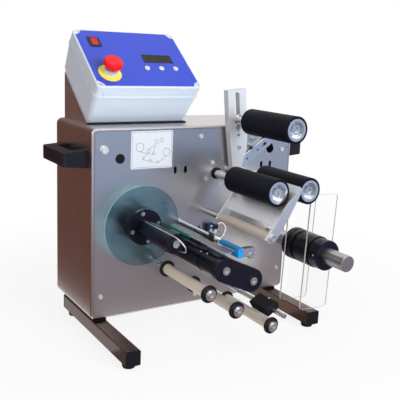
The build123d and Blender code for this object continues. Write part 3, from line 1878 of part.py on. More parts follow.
with BuildPart() as fixed_axles:
    stud_across, stud_up = on_link(stop_stud_along, link_half + stop_stud_radius + seat)
    disc(stud_across, stud_up, stop_stud_radius, 0, stop_stud_reach)
    bolt_across, bolt_up = on_link(stop_bolt_along, stop_bolt_side)
    disc(bolt_across, bolt_up, head_radius, 0, nut_high)
    hex_socket(bolt_across, bolt_up, screw_radius, socket_deep, nut_high)
    fixed_axle(support_across, support_up, small_axle_radius, support_end)
    disc(support_across, support_up, nut_radius, 0, roller_start - seat)
    for across, up in web_places:
        fixed_axle(across, up, web_axle_radius, web_axle_end)
        disc(across, up, web_collar_radius, web_collar_back, web_axle_end - web_nut_thick)
        disc(across, up, web_nut_radius, web_axle_end - web_nut_thick, web_axle_end)
        hex_socket(across, up, socket_size, web_nut_thick, web_axle_end)
        disc(across, up, web_axle_radius + spacer_out, carrier_back, web_flange_back)
    fixed_axle(peel_across, peel_up, peel_shaft_radius, lever_back)
    disc(peel_across, peel_up, web_axle_radius, lever_back, lever_front + lever_thick)
    lever_nut = lever_front + lever_thick
    disc(peel_across, peel_up, end_screw_radius, lever_nut, lever_nut + end_screw_high)
    hex_socket(peel_across, peel_up, socket_size, socket_deep, lever_nut + end_screw_high)
    fixed_axle(rod_across, rod_up, rod_radius, rod_reach)
    fixed_axle(brake_rod_across, brake_rod_up, brake_rod_radius, brake_rod_reach)
    disc(guide_across, guide_up, guide_axle_radius, carrier_back, end_plate_front)
    disc(guide_across, guide_up, bolt_head_radius, end_plate_front, end_plate_front + bolt_head_high)
    hex_socket(guide_across, guide_up, socket_size, socket_deep, end_plate_front + bolt_head_high)
    anchor_up = spring_top + anchor_radius
    disc(spring_across, anchor_up, anchor_radius, crank_front, -plate_thick)
save(fixed_axles, "fixed_axles")

# Screws: edge and housing screws on the plate, cover screws, lid screws, handle screws
bolt_washer_radius = 9
bolt_washer_thick = 2
bolt_head_out = 7
lid_shank = 20
handle_head_radius = 5
handle_shank = 16

with BuildPart() as case_screws:
    for across, up in edge_screws + housing_screw_places:
        disc(across, up, screw_radius, -plate_thick - bracket_wall, 0)
        disc(across, up, head_radius, 0, head_high)
        bore(across, up, screw_radius / 2, head_high - cut_over, head_high + cut_over)
    for across, up in cover_screw_places:
        disc(across, up, screw_radius, cover_back, -cabinet_depth)
        disc(across, up, head_radius, cover_back - head_high, cover_back)
    disc(corner_bolt_across, corner_bolt_up, corner_bolt_radius, -plate_thick - nut_high, 0)
    disc(corner_bolt_across, corner_bolt_up, bolt_washer_radius, 0, bolt_washer_thick)
    disc(
        corner_bolt_across,
        corner_bolt_up,
        bolt_head_out,
        bolt_washer_thick,
        bolt_washer_thick + nut_high,
    )
    disc(corner_bolt_across, corner_bolt_up, bolt_washer_radius, -plate_thick - nut_high, -plate_thick)
    for right, along in lid_screw_places:
        post(console(right, along, lid_top - boss_deep), head_radius, head_high)
        post(console(right, along, lid_top - boss_deep - lid_shank), screw_radius, lid_shank)
    for way in (-1, 1):
        for back in handle_screw_backs:
            inner_wall = Plane(
                origin=(way * (cabinet_width / 2 - sheet), plate_y + back, base_z + handle_up),
                z_dir=(way, 0, 0),
            )
            post(inner_wall, handle_screw_radius, handle_shank)
            post(inner_wall.offset(-head_high), handle_head_radius, head_high)
save(case_screws, "case_screws")
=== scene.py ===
from math import cos, pi, radians, sin

import bpy
import numpy as np
from mathutils import Matrix, Vector


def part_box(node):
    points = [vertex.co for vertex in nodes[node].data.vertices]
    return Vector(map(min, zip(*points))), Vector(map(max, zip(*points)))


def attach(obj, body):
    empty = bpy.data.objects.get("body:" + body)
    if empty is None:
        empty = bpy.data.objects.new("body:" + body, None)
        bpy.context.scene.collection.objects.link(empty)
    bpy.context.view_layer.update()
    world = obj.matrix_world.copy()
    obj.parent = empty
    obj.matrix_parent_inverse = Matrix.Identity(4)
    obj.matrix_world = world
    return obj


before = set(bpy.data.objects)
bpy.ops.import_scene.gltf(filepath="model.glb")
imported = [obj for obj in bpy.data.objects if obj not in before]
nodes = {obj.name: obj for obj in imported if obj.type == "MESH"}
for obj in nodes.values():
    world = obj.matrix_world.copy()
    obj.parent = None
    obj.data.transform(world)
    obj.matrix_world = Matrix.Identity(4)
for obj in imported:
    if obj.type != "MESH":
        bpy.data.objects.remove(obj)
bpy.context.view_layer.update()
MM = 0.001

# Places on the machine in metres, taken from the CAD pieces at rest
PLATE_Y = float(np.array(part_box("front_plate"))[0, 1])
LEFT_X, _, BASE_Z = (float(place) for place in np.array(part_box("cabinet_shell"))[0])

# Control box: slope of its seat, and its base's lower left corner in mm
TILT = radians(37.6)
CONSOLE_ACROSS, CONSOLE_UP, CONSOLE_BACK = 17, 403, 73


def at(across, up, forward=0.0):
    """A place given in mm from the cabinet's lower left front corner, as metres in the row frame."""
    return np.array([LEFT_X + across * MM, PLATE_Y - forward * MM, BASE_Z + up * MM])


CONSOLE_RIGHT = np.array([1.0, 0.0, 0.0])
CONSOLE_ALONG = np.array([0.0, cos(TILT), sin(TILT)])
CONSOLE_OUT = np.array([0.0, -sin(TILT), cos(TILT)])
CONSOLE_ORIGIN = at(CONSOLE_ACROSS, CONSOLE_UP, -CONSOLE_BACK)


def on_console(right, along, out):
    """A place on the control box in mm, measured from its base's lower left corner."""
    return CONSOLE_ORIGIN + MM * (right * CONSOLE_RIGHT + along * CONSOLE_ALONG + out * CONSOLE_OUT)


# Materials. Grain sizes are those of the noise's coarsest cells in mm, and four octaves go down from them
# to a sixteenth. Strokes and grit are drawn coarser than the real ones, which would be too fine to show
OCTAVES, OCTAVE_SHARE = 4.0, 0.6
NOISE_LOW, NOISE_HIGH = 0.3, 0.7
BUMP_STRENGTH = 0.6


def linear(code):
    """The linear colour of an sRGB hex value, by the sRGB curve."""
    value = np.array([int(code[i : i + 2], 16) for i in (0, 2, 4)]) / 255
    curve = np.where(value <= 0.04045, value / 12.92, ((value + 0.055) / 1.055) ** 2.4)
    return (*(float(c) for c in curve), 1.0)


def add_node(tree, kind, inputs=None, **settings):
    """Adds one node: settings are its properties, inputs its sockets, as values or as sockets to link."""
    made = tree.nodes.new(kind)
    for key, value in settings.items():
        setattr(made, key, value)
    for key, value in (inputs or {}).items():
        if isinstance(value, bpy.types.NodeSocket):
            tree.links.new(value, made.inputs[key])
        else:
            made.inputs[key].default_value = value
    return made


def finish_of(name, colour, **sockets):
    """A material whose one Principled shader has these socket values, with its tree and its shader."""
    material = bpy.data.materials.new(name)
    material.use_nodes = True
    tree = material.node_tree
    shader = tree.nodes["Principled BSDF"]
    shader.inputs["Base Color"].default_value = linear(colour)
    for key, value in sockets.items():
        shader.inputs[key.replace("_", " ")].default_value = value
    return material, tree, shader


def grain(tree, shader, sizes, roughness, lift):
    """Noise whose cells have these sizes in mm varies the roughness and lifts a bump of so many mm."""
    place = add_node(tree, "ShaderNodeTexCoord")
    cells = tuple(1 / (float(size) * MM) for size in np.broadcast_to(sizes, 3))
    scaled = add_node(tree, "ShaderNodeMapping", {"Vector": place.outputs["Object"], "Scale": cells})
    noise = add_node(
        tree,
        "ShaderNodeTexNoise",
        {
            "Vector": scaled.outputs["Vector"],
            "Scale": 1.0,
            "Detail": OCTAVES,
            "Roughness": OCTAVE_SHARE,
        },
    )
    spread = add_node(
        tree,
        "ShaderNodeMapRange",
        {
            "Value": noise.outputs["Fac"],
            "From Min": NOISE_LOW,
            "From Max": NOISE_HIGH,
            "To Min": roughness[0],
            "To Max": roughness[1],
        },
    )
    tree.links.new(spread.outputs["Result"], shader.inputs["Roughness"])
    if lift:
        bump = add_node(
            tree,
            "ShaderNodeBump",
            {"Height": noise.outputs["Fac"], "Distance": lift * MM, "Strength": BUMP_STRENGTH},
        )
        tree.links.new(bump.outputs["Normal"], shader.inputs["Normal"])


def grained(name, colour, sizes, roughness, lift=0, **sockets):
    """A material of one colour with the grain its making leaves, of one size or one for each axis."""
    material, tree, shader = finish_of(name, colour, **sockets)
    grain(tree, shader, sizes, roughness, lift)
    return material


# Brushed stainless sheet: long fine strokes that blur reflections sideways
brushed_sheet = grained(
    "brushed stainless sheet", "CBCACB", (40, 0.625, 0.625), (0.3, 0.36), 0.01, Metallic=1.0
)

# Side sheet: the same steel with upright strokes, so that its reflections run down
side_sheet = grained(
    "brushed stainless side", "C4BFBD", (0.625, 0.625, 40), (0.26, 0.32), 0.01, Metallic=1.0
)

# Leg tube: the same steel ground lengthwise, with a painted dark brown reflection in its colour, so that
# it is darker than the sheet
leg_steel = grained(
    "stainless tube with painted brown reflection", "5E4B42", (0.625, 40, 0.625), (0.24, 0.34), 0.01, Metallic=1.0
)

# Turned bright steel: shafts, axles, set screws and the arm's link, with fine rings about their length
turned_steel = grained(
    "turned bright steel", "DCDBDA", (3.333, 0.385, 3.333), (0.16, 0.3), 0.02, Metallic=1.0
)

# Satin aluminium: peel levers, bearing housings and rewinder's pulley, milled and blasted, softly grey
satin_aluminium = grained("satin aluminium", "E6E8EB", 1.429, (0.42, 0.54), 0.02, Metallic=1.0)

# Anodised aluminium of the pressure arm: its clear layer scatters part of the light, so it is paler
# than bare metal
anodised_arm = grained("clear anodised aluminium", "DADEE2", 1.429, (0.4, 0.5), 0.02, Metallic=0.5)

# Zinc-plated screw heads and stop switch's neck: pale and a little matt, bright beside the darker sheet
plated_screw = grained("zinc plated screw", "DFE1E4", 1.111, (0.26, 0.38), Metallic=0.6)

# Roller cores: aluminium turned bright, so the recess mirrors its own dark and light sides
turned_core = grained(
    "bright turned aluminium", "E4E5E6", (0.417, 3.333, 0.417), (0.1, 0.2), 0.02, Metallic=1.0
)

# Ground steel of the roll shaft: a finer grey than the turned parts, without hard reflections
ground_steel = grained(
    "ground steel shaft", "B3B1B2", (3.333, 0.385, 3.333), (0.34, 0.44), 0.02, Metallic=1.0
)

# Zinc-plated inner sheet: pale, slightly mottled
zinc_sheet = grained("zinc plated sheet", "B9BCC0", 16.667, (0.3, 0.5), Metallic=1.0)

# Ground rubber: dark sleeve with a fine ground surface that only shows broad soft highlights
ground_rubber = grained(
    "ground black rubber", "080A17", (1.111, 0.417, 1.111), (0.48, 0.62), 0.05, Specular_IOR_Level=0.12
)

# Moulded rubber: feet, pads and plugs, duller than the sleeves
moulded_rubber = grained(
    "moulded black rubber", "0E0E17", 1.111, (0.55, 0.7), 0.04, Specular_IOR_Level=0.25
)

# Hard-coated black parts: anodised dark, smooth, with a low satin gloss
hard_coat = grained(
    "black hard coat", "0A0C1C", (2.5, 0.556, 2.5), (0.26, 0.38), 0.02, Specular_IOR_Level=0.28
)

# Black nylon mouldings: handles, flanges, brake block and frames, with a fine spark-eroded grain
black_nylon = grained(
    "black moulded nylon", "0E0F18", 0.769, (0.38, 0.52), 0.06, Specular_IOR_Level=0.35
)

# Light ABS case: cool light grey with a soft moulded grain
case_plastic = grained(
    "light grey ABS case", "CBDAEA", 0.909, (0.38, 0.48), 0.03, Specular_IOR_Level=0.35
)

# Printed blue film on the control panel: smooth and satin
panel_film = grained("blue printed film", "374CC8", 0.667, (0.26, 0.32), 0.01, Specular_IOR_Level=0.2)

# Deep crimson plastic of the rocker, darker than the mushroom
rocker_plastic = grained("crimson rocker plastic", "B40C26", 3.333, (0.16, 0.22), Specular_IOR_Level=0.3)

# Glossy red plastic of the stop mushroom
red_plastic = grained("glossy red plastic", "E2101F", 3.333, (0.18, 0.24), Specular_IOR_Level=0.2)

# Yellow plastic ring under the stop switch
yellow_plastic = grained("yellow plastic ring", "F0DE60", 3.333, (0.3, 0.36), Specular_IOR_Level=0.3)

# White plastic of the keys and the terminal screws
white_plastic = grained("white glossy plastic", "CDD1DE", 3.333, (0.24, 0.3))

# Pale printed plate with the threading diagram
diagram_film = grained("pale diagram film", "C6CDD6", 1.25, (0.34, 0.4))

# Dark printing ink of the threading diagram
dark_ink = grained("dark printing ink", "1C222E", 1.25, (0.45, 0.5))

# Clear acrylic: cast sheet, nearly colourless, whose edges catch the light
ACRYLIC_IOR = 1.49
clear_acrylic, _, _ = finish_of(
    "clear cast acrylic", "FFFFFF", Roughness=0.0, Transmission_Weight=1.0, IOR=ACRYLIC_IOR
)

# Blue-green tinted acrylic of the rewinder's disc: each face takes some red out of the light
tinted_acrylic, _, _ = finish_of(
    "tinted cast acrylic", "A2BFCC", Roughness=0.0, Transmission_Weight=1.0, IOR=ACRYLIC_IOR
)

# Sawn edges of the clear plates: matt, so they show as thin pale lines; a little green on the disc
sawn_edge = grained("sawn acrylic edge", "E6DDE2", 1.111, (0.5, 0.6))
tinted_edge = grained("sawn tinted acrylic edge", "9CCBD4", 1.111, (0.4, 0.5))

# Natural polymer of the web rollers: warm beige, turned, with faint rings
beige_polymer = grained(
    "natural beige polymer", "D8D1C6", (5, 0.667, 5), (0.36, 0.5), 0.02, Specular_IOR_Level=0.25
)

# Green edge trim along the label table
green_trim = grained("green plastic trim", "10966F", 2, (0.35, 0.42))

# Blue sensor case
sensor_case = grained("blue sensor plastic", "0F82C8", 1.111, (0.28, 0.36), Specular_IOR_Level=0.25)

# Dark blue terminal strip
terminal_plastic = grained(
    "dark blue terminal plastic", "22365A", 1.111, (0.35, 0.45), Specular_IOR_Level=0.25
)

# Motor's black enamel
motor_enamel = grained("black enamel", "141416", 2.5, (0.3, 0.4), Specular_IOR_Level=0.4)

# Dark olive glass of the character display
display_glass = grained("olive display glass", "2F2D12", 5, (0.12, 0.16), Specular_IOR_Level=0.12)

# Unlit character cells, a little darker than the glass
display_cells = grained("dark display cells", "24220C", 5, (0.2, 0.24), Specular_IOR_Level=0.12)

# White cable sheath of the sensor
cable_sheath = grained("white cable sheath", "E4E6E8", 1.111, (0.35, 0.45))

finishes = {
    brushed_sheet: ["front_plate", "console_bracket", "label_table", "rear_cover"],
    side_sheet: ["cabinet_shell"],
    leg_steel: ["leg_tubes"],
    zinc_sheet: ["inner_frame"],
    turned_steel: [
        "fixed_axles",
        "rewind_shaft",
        "traction_shaft",
        "motor_shaft",
        "top_axle",
        "arm_link",
        "arm_spring",
        "sensor_clamp",
    ],
    anodised_arm: ["arm_plate"],
    plated_screw: ["case_screws", "stop_body"],
    satin_aluminium: [
        "peel_levers",
        "bearing_housings",
        "rewind_pulley",
    ],
    turned_core: ["drive_shaft", "support_core", "top_core"],
    ground_steel: ["roll_shaft"],
    ground_rubber: ["drive_sleeve", "support_sleeve", "top_sleeve", "belts"],
    hard_coat: ["traction_sleeve", "guide_roller", "roller_carrier", "rewind_mandrel", "roll_drum"],
    moulded_rubber: ["black_fittings"],
    black_nylon: ["handles", "power_fittings", "web_flanges", "brake_block", "display_board"],
    case_plastic: ["console_base", "console_lid"],
    panel_film: ["console_panel"],
    red_plastic: ["stop_head"],
    rocker_plastic: ["power_rocker"],
    yellow_plastic: ["stop_collar"],
    white_plastic: ["key_left", "key_middle", "key_right"],
    diagram_film: ["diagram_plate"],
    clear_acrylic: ["roll_guides"],
    tinted_acrylic: ["rewind_disc"],
    beige_polymer: ["web_roller_1", "web_roller_2", "web_roller_3", "peel_roller"],
    green_trim: ["table_trim"],
    sensor_case: ["sensor_fork"],
    terminal_plastic: ["terminal_block"],
    motor_enamel: ["motor"],
}

# Angles in degrees from which an edge is rounded or stays sharp, and how near corners are joined in metres
ROUND_FROM, SHARP_FROM = 35, 32
JOIN_WITHIN = 0.00001

# Edge rounding of the CAD pieces in mm; a piece not listed keeps its own edges
edge_rounding = {
    "leg_tubes": 0.5,
    "handles": 1.2,
    "arm_plate": 0.5,
    "arm_link": 0.4,
    "peel_levers": 0.4,
    "roller_carrier": 0.6,
    "brake_block": 0.8,
    "console_bracket": 0.4,
    "console_base": 0.5,
    "front_plate": 0.3,
    "sensor_clamp": 0.4,
    "sensor_fork": 0.4,
    "web_flanges": 0.5,
    "roll_drum": 0.5,
    "rewind_mandrel": 0.4,
    "stop_collar": 0.4,
    "power_fittings": 0.4,
    "power_rocker": 0.4,
    "drive_shaft": 0.3,
    "support_core": 0.3,
    "top_core": 0.3,
    "fixed_axles": 0.3,
    "traction_shaft": 0.3,
    "rewind_shaft": 0.2,
    "case_screws": 0.3,
    "black_fittings": 0.5,
    "terminal_block": 0.4,
}
for material, names in finishes.items():
    for name in names:
        piece = nodes[name]
        piece.data.materials.clear()
        piece.data.materials.append(material)
        piece.data.polygons.foreach_set("use_smooth", [True] * len(piece.data.polygons))
        weld = piece.modifiers.new("joined corners", "WELD")
        weld.merge_threshold = JOIN_WITHIN
        if name in edge_rounding:
            bevel = piece.modifiers.new("rounded edges", "BEVEL")
            bevel.width = edge_rounding[name] * MM
            bevel.segments = 2
            bevel.limit_method = "ANGLE"
            bevel.angle_limit = radians(ROUND_FROM)
        split = piece.modifiers.new("sharp edges", "EDGE_SPLIT")
        split.split_angle = radians(SHARP_FROM)
        flat = piece.modifiers.new("flat faces stay flat", "WEIGHTED_NORMAL")
        flat.weight = 100
        flat.keep_sharp = True


# A clear plate's face is a narrow one where its normal's part from front to back is below this
NARROW_BELOW = 0.5


def sawn_edges(name, material):
    """A clear plate's narrow faces, whose normals lie across the plate's own, get their own material."""
    mesh = nodes[name].data
    normals = np.empty(3 * len(mesh.polygons))
    mesh.polygons.foreach_get("normal", normals)
    mesh.materials.append(material)
    narrow = np.abs(normals.reshape(-1, 3)[:, 1]) < NARROW_BELOW
    mesh.polygons.foreach_set("material_index", narrow.astype(int))


sawn_edges("roll_guides", sawn_edge)
sawn_edges("rewind_disc", tinted_edge)


# New pieces
def surface(name, points, material, wrap_u=False, wrap_v=False, cap_start=False, cap_end=False):
    """Mesh of a grid of points, rows u and columns v: quads between neighbours, wrapped or capped."""
    rows, columns = points.shape[:2]
    index = np.arange(rows * columns).reshape(rows, columns)
    u_next = np.roll(index, -1, axis=0)
    v_next = np.roll(index, -1, axis=1)
    both = np.roll(u_next, -1, axis=1)
    quads = np.stack([index, u_next, both, v_next], axis=-1)
    quads = quads[: rows if wrap_u else rows - 1, : columns if wrap_v else columns - 1]
    faces = quads.reshape(-1, 4).tolist()
    if cap_start:
        faces.append(index[0].tolist())
    if cap_end:
        faces.append(index[-1][::-1].tolist())
    mesh = bpy.data.meshes.new(name)
    mesh.from_pydata(points.reshape(-1, 3).tolist(), [], faces)
    mesh.materials.append(material)
    mesh.polygons.foreach_set("use_smooth", [True] * len(mesh.polygons))
    mesh.update()
    made = bpy.data.objects.new(name, mesh)
    bpy.context.scene.collection.objects.link(made)
    return made


def turned(name, profile, origin, axis, side, material, sides):
    """Profile of (radius, height) pairs in mm turned about an axis from origin, capped at both ends."""
    profile = np.array(profile, float) * MM
    angle = np.linspace(0, 2 * pi, sides, endpoint=False)
    other = np.cross(axis, side)
    ring = np.cos(angle)[:, None] * side + np.sin(angle)[:, None] * other
    points = origin + profile[:, 1, None, None] * axis + profile[:, 0, None, None] * ring[None]
    return surface(name, points, material, wrap_v=True, cap_start=True, cap_end=True)


FORWARD = np.array([0.0, -1.0, 0.0])


def raised_bar(start, end, width, height):
    """Thin bar from start to end on a face that looks forward: its four corners at two heights."""
    way = (end - start) / np.linalg.norm(end - start)
    side = np.array([-way[2], 0, way[0]]) * width / 2
    low = np.array([start - side, end - side, end + side, start + side])
    return low, low + FORWARD * height


def joined(name, grids, material):
    """One mesh from several closed rings of points given as (bottom, top) pairs: sides and both caps."""
    verts, faces = [], []
    for bottom, top in grids:
        count = len(bottom)
        first = sum(len(v) for v in verts)
        verts.append(np.vstack([bottom, top]))
        ring = np.arange(count)
        after = np.roll(ring, -1)
        faces += (first + np.stack([ring, after, after + count, ring + count], axis=1)).tolist()
        faces.append((first + ring[::-1]).tolist())
        faces.append((first + ring + count).tolist())
    mesh = bpy.data.meshes.new(name)
    mesh.from_pydata(np.vstack(verts).tolist(), [], faces)
    mesh.materials.append(material)
    mesh.update()
    made = bpy.data.objects.new(name, mesh)
    bpy.context.scene.collection.objects.link(made)
    return made


# Display: glass in the window's recess, and two rows of unlit cells on it, in mm on the control box
GLASS_RIGHT, GLASS_ALONG = 166.5, 90.5
GLASS_WIDE, GLASS_HIGH = 63.6, 18.6
GLASS_BACK, GLASS_OUT = 96.85, 97.2
CELL_COLUMNS, CELL_ROWS = 16, 2
CELL_PITCH, CELL_HIGH = 3.5, 6.2
COLUMN_GAP, ROW_GAP, CELL_THICK = 0.6, 1.0, 0.05
corners = np.array([[-1, -1], [1, -1], [1, 1], [-1, 1]]) / 2


def console_block(right, along, wide, high, low, top):
    """Rectangular plate on the control box: its lower and upper ring of corners."""
    places = corners * [wide, high] + [right, along]
    bottom = np.array([on_console(r, a, low) for r, a in places])
    return bottom, bottom + (top - low) * MM * CONSOLE_OUT


pane = console_block(GLASS_RIGHT, GLASS_ALONG, GLASS_WIDE, GLASS_HIGH, GLASS_BACK, GLASS_OUT)
glass = joined("display_window", [pane], display_glass)
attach(glass, "machine")
cells = joined(
    "display_cells",
    [
        console_block(
            GLASS_RIGHT + (column - (CELL_COLUMNS - 1) / 2) * CELL_PITCH,
            GLASS_ALONG + (row - (CELL_ROWS - 1) / 2) * (CELL_HIGH + ROW_GAP),
            CELL_PITCH - COLUMN_GAP,
            CELL_HIGH,
            GLASS_OUT,
            GLASS_OUT + CELL_THICK,
        )
        for column in range(CELL_COLUMNS)
        for row in range(CELL_ROWS)
    ],
    display_cells,
)
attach(cells, "machine")

# Knurled cap of the sensor clamp's knob: the profile's radius plus share * depth * cos(ribs * angle),
# where the share fades towards both ends; profile of (radius, height) pairs in mm
KNOB_ACROSS, KNOB_UP, KNOB_FORWARD = 209, 205, 136
KNOB_RIBS, RIB_DEEP, POINTS_A_RIB = 18, 0.25, 6
knob_profile = np.array([[2.6, 5.7], [4.2, 6.0], [4.3, 6.6], [4.3, 13.6], [3.9, 14.3], [1.5, 14.4]])
rib_shares = np.array([0, 0.5, 1, 1, 0.5, 0])
knob_turns = np.linspace(2 * pi, 0, KNOB_RIBS * POINTS_A_RIB, endpoint=False)
ripple = rib_shares[:, None] * RIB_DEEP * np.cos(KNOB_RIBS * knob_turns)[None]
knob_radius = (knob_profile[:, 0, None] + ripple) * MM
knob_base = at(KNOB_ACROSS, KNOB_UP, KNOB_FORWARD)
knob_points = np.stack(
    [
        knob_base[0] + knob_radius * np.cos(knob_turns),
        knob_base[1] + knob_radius * np.sin(knob_turns),
        np.broadcast_to(knob_base[2] + knob_profile[:, 1, None] * MM, knob_radius.shape),
    ],
    axis=-1,
)
knob = surface("clamp_knob_cap", knob_points, black_nylon, wrap_v=True, cap_start=True, cap_end=True)
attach(knob, "sensor_carriage")

# Threading diagram on the pale plate: rings for the rollers, lines for the web between them and a frame.
# Places are across and up from the plate's middle in mm
DIAGRAM = at(132, 353, 0.8)
RING_WIDE, WEB_WIDE, FRAME_WIDE, INK_THICK = 0.7, 0.6, 0.5, 0.06
RING_BARS = 24


def ink_path(places, wide):
    """Bars of ink between neighbouring places, as the rings of corners of each bar."""
    places = DIAGRAM + np.insert(np.array(places, float), 1, 0, axis=1) * MM
    return [raised_bar(a, b, wide * MM, INK_THICK * MM) for a, b in zip(places[:-1], places[1:])]


def ink_ring(across, up, radius):
    """Ring of short bars: places at the middle plus radius * (cos, sin) of evenly spaced turns."""
    turns = np.linspace(0, 2 * pi, RING_BARS + 1)
    places = np.stack([across + radius * np.cos(turns), up + radius * np.sin(turns)], axis=-1)
    return ink_path(places, RING_WIDE)


diagram_rollers = [
    (-28, 6, 9.0),
    (34, -6, 8.0),
    (10, 16, 4.0),
    (22, 20, 4.0),
    (-8, -2, 3.5),
    (4, -8, 3.0),
    (-20, -18, 2.2),
    (-4, -22, 2.2),
    (14, -26, 2.2),
]
diagram_web = [
    ((34, -14), (14, -28.2)),
    ((14, -28.2), (-4, -24.2)),
    ((-4, -24.2), (-20, -20.2)),
    ((-20, -15.8), (-8, -5.5)),
    ((-8, 1.5), (8, 10)),
    ((8, 10), (4, -5)),
    ((4, -11), (-28, -3)),
]
diagram_frame = [(-45, -36), (45, -36), (45, 36), (-45, 36), (-45, -36)]
bars = [bar for roller in diagram_rollers for bar in ink_ring(*roller)]
bars += [bar for line in diagram_web for bar in ink_path(line, WEB_WIDE)]
bars += ink_path(diagram_frame, FRAME_WIDE)
diagram = joined("threading_diagram", bars, dark_ink)
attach(diagram, "machine")

# White screws of the terminal strip, in a column: discs with their rim at radius * (cos, sin)
TERMINAL_ACROSS, TERMINAL_UP, TERMINAL_OUT = 279, 165, 12
TERMINALS, TERMINAL_PITCH = 4, 8.5
TERMINAL_RADIUS, TERMINAL_HIGH, TERMINAL_SIDES = 2.4, 0.6, 16
turns = np.linspace(0, 2 * pi, TERMINAL_SIDES, endpoint=False)
rim = TERMINAL_RADIUS * MM * np.stack([np.cos(turns), 0 * turns, np.sin(turns)], axis=-1)
dots = []
for row in range(TERMINALS):
    up = TERMINAL_UP + (row - (TERMINALS - 1) / 2) * TERMINAL_PITCH
    round_edge = at(TERMINAL_ACROSS, up, TERMINAL_OUT) + rim
    dots.append((round_edge, round_edge + TERMINAL_HIGH * MM * FORWARD))
terminal_dots = joined("terminal_screws", dots, white_plastic)
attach(terminal_dots, "machine")


# Set screws: a rounded rim about a sunk middle, as a profile of (radius, height) pairs in mm
SCREW_SIDES = 24
SCREW_PROFILE = [(1.1, -0.6), (1.2, 0.5), (1.9, 0.6), (2.3, 0.3), (2.4, -0.8)]


def round_place(across, up, radius, turn, forward):
    """A place on a roller's side and the way out of it there; turn in degrees from the right, upwards."""
    out = np.array([cos(radians(turn)), 0.0, sin(radians(turn))])
    return at(across, up, forward) + radius * MM * out, out


def set_screw(name, place, out, body):
    """Set screw standing along the way out of a surface, riding on a body."""
    side = np.cross(out, FORWARD)
    side /= np.linalg.norm(side)
    made = turned(name, SCREW_PROFILE, place, out, side, turned_steel, SCREW_SIDES)
    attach(made, body)


# Each on a round side: name, then the axis's across and up, radius, turn and forward, and the body
round_set_screws = [
    ("drum_set_screw_1", 456, 140, 33, 80, 190, "label_roll_holder"),
    ("drum_set_screw_2", 456, 140, 33, 175, 190, "label_roll_holder"),
    ("guide_set_screw_1", 166, 161, 20, 118, 168, "guide"),
    ("guide_set_screw_2", 166, 161, 20, 110, 186, "guide"),
]
for name, *place, body in round_set_screws:
    set_screw(name, *round_place(*place), body)
BRAKE_TURN = radians(32)
BRAKE_SCREW = at(316.7, 62.9, 185)
set_screw("brake_set_screw", BRAKE_SCREW, np.array([-sin(BRAKE_TURN), 0.0, cos(BRAKE_TURN)]), "brake")


# Cable and rolled edge: round tubes along smooth paths
SPAN_STEPS = 40
TUBE_SIDE = np.array([0.31, 0.12, 0.94])


def smooth_path(places, count):
    """Points evenly spaced along the Catmull-Rom line through the given places, and its length."""
    places = np.array(places)
    padded = np.vstack([2 * places[0] - places[1], places, 2 * places[-1] - places[-2]])
    steps = np.linspace(0, 1, SPAN_STEPS, endpoint=False)[:, None]
    parts = []
    for p0, p1, p2, p3 in zip(padded, padded[1:], padded[2:], padded[3:]):
        parts.append(
            0.5
            * (
                2 * p1
                + (p2 - p0) * steps
                + (2 * p0 - 5 * p1 + 4 * p2 - p3) * steps**2
                + (3 * p1 - p0 - 3 * p2 + p3) * steps**3
            )
        )
    line = np.vstack(parts + [places[-1:]])
    run = np.concatenate([[0], np.cumsum(np.linalg.norm(np.diff(line, axis=0), axis=1))])
    even = np.linspace(0, run[-1], count)
    return np.stack([np.interp(even, run, line[:, i]) for i in range(3)], axis=-1), float(run[-1])


def tube(name, path, radius, material, sides=10):
    """Round tube: each path point plus radius * (cos a * side + sin a * other), both across the path."""
    along = np.gradient(path, axis=0)
    along /= np.linalg.norm(along, axis=1)[:, None]
    side = np.cross(along, TUBE_SIDE)
    side /= np.linalg.norm(side, axis=1)[:, None]
    other = np.cross(side, along)
    angle = np.linspace(0, 2 * pi, sides, endpoint=False)
    ring = np.cos(angle)[None, :, None] * side[:, None] + np.sin(angle)[None, :, None] * other[:, None]
    points = path[:, None] + radius * ring
    return surface(name, points, material, wrap_v=True, cap_start=True, cap_end=True)


# Sensor cable: a loop from the fork's rear end round to the clamp's top
cable_places = [
    at(185, 196, 192.5),
    at(186, 195, 184),
    at(192, 194, 172),
    at(204, 196, 160),
    at(222, 203, 148),
    at(228, 214, 141),
    at(222, 222, 137),
    at(214, 219, 136),
    at(211.5, 210, 136),
    at(211, 204.5, 136),
]
CABLE_RADIUS = 1.0 * MM
CABLE_POINTS = 120
cable_path, cable_length = smooth_path(cable_places, CABLE_POINTS)
cable = tube("sensor_cable", cable_path, CABLE_RADIUS, cable_sheath)
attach(cable, "sensor_carriage")

# Table's bright rolled edge: from the trim's end along the left side and across the front
EDGE_RADIUS = 0.8 * MM
EDGE_POINTS, EDGE_SIDES = 60, 8
edge_places = [
    at(158.9, 196, 124),
    at(158.9, 196, 200),
    at(158.9, 196, 244),
    at(161, 196, 246.3),
    at(177, 196, 246.3),
]
edge_path, _ = smooth_path(edge_places, EDGE_POINTS)
table_edge = tube("table_rolled_edge", edge_path, EDGE_RADIUS, turned_steel, EDGE_SIDES)
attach(table_edge, "machine")


# Floor, backdrop, lamps and camera
def light_seen(tree):
    """One where the ray comes from the camera, a mirror or a clear piece, else nothing."""
    rays = add_node(tree, "ShaderNodeLightPath")
    total = rays.outputs["Is Camera Ray"]
    for kind in ("Is Glossy Ray", "Is Transmission Ray"):
        both = {0: total, 1: rays.outputs[kind]}
        total = add_node(tree, "ShaderNodeMath", both, operation="MAXIMUM").outputs["Value"]
    return total


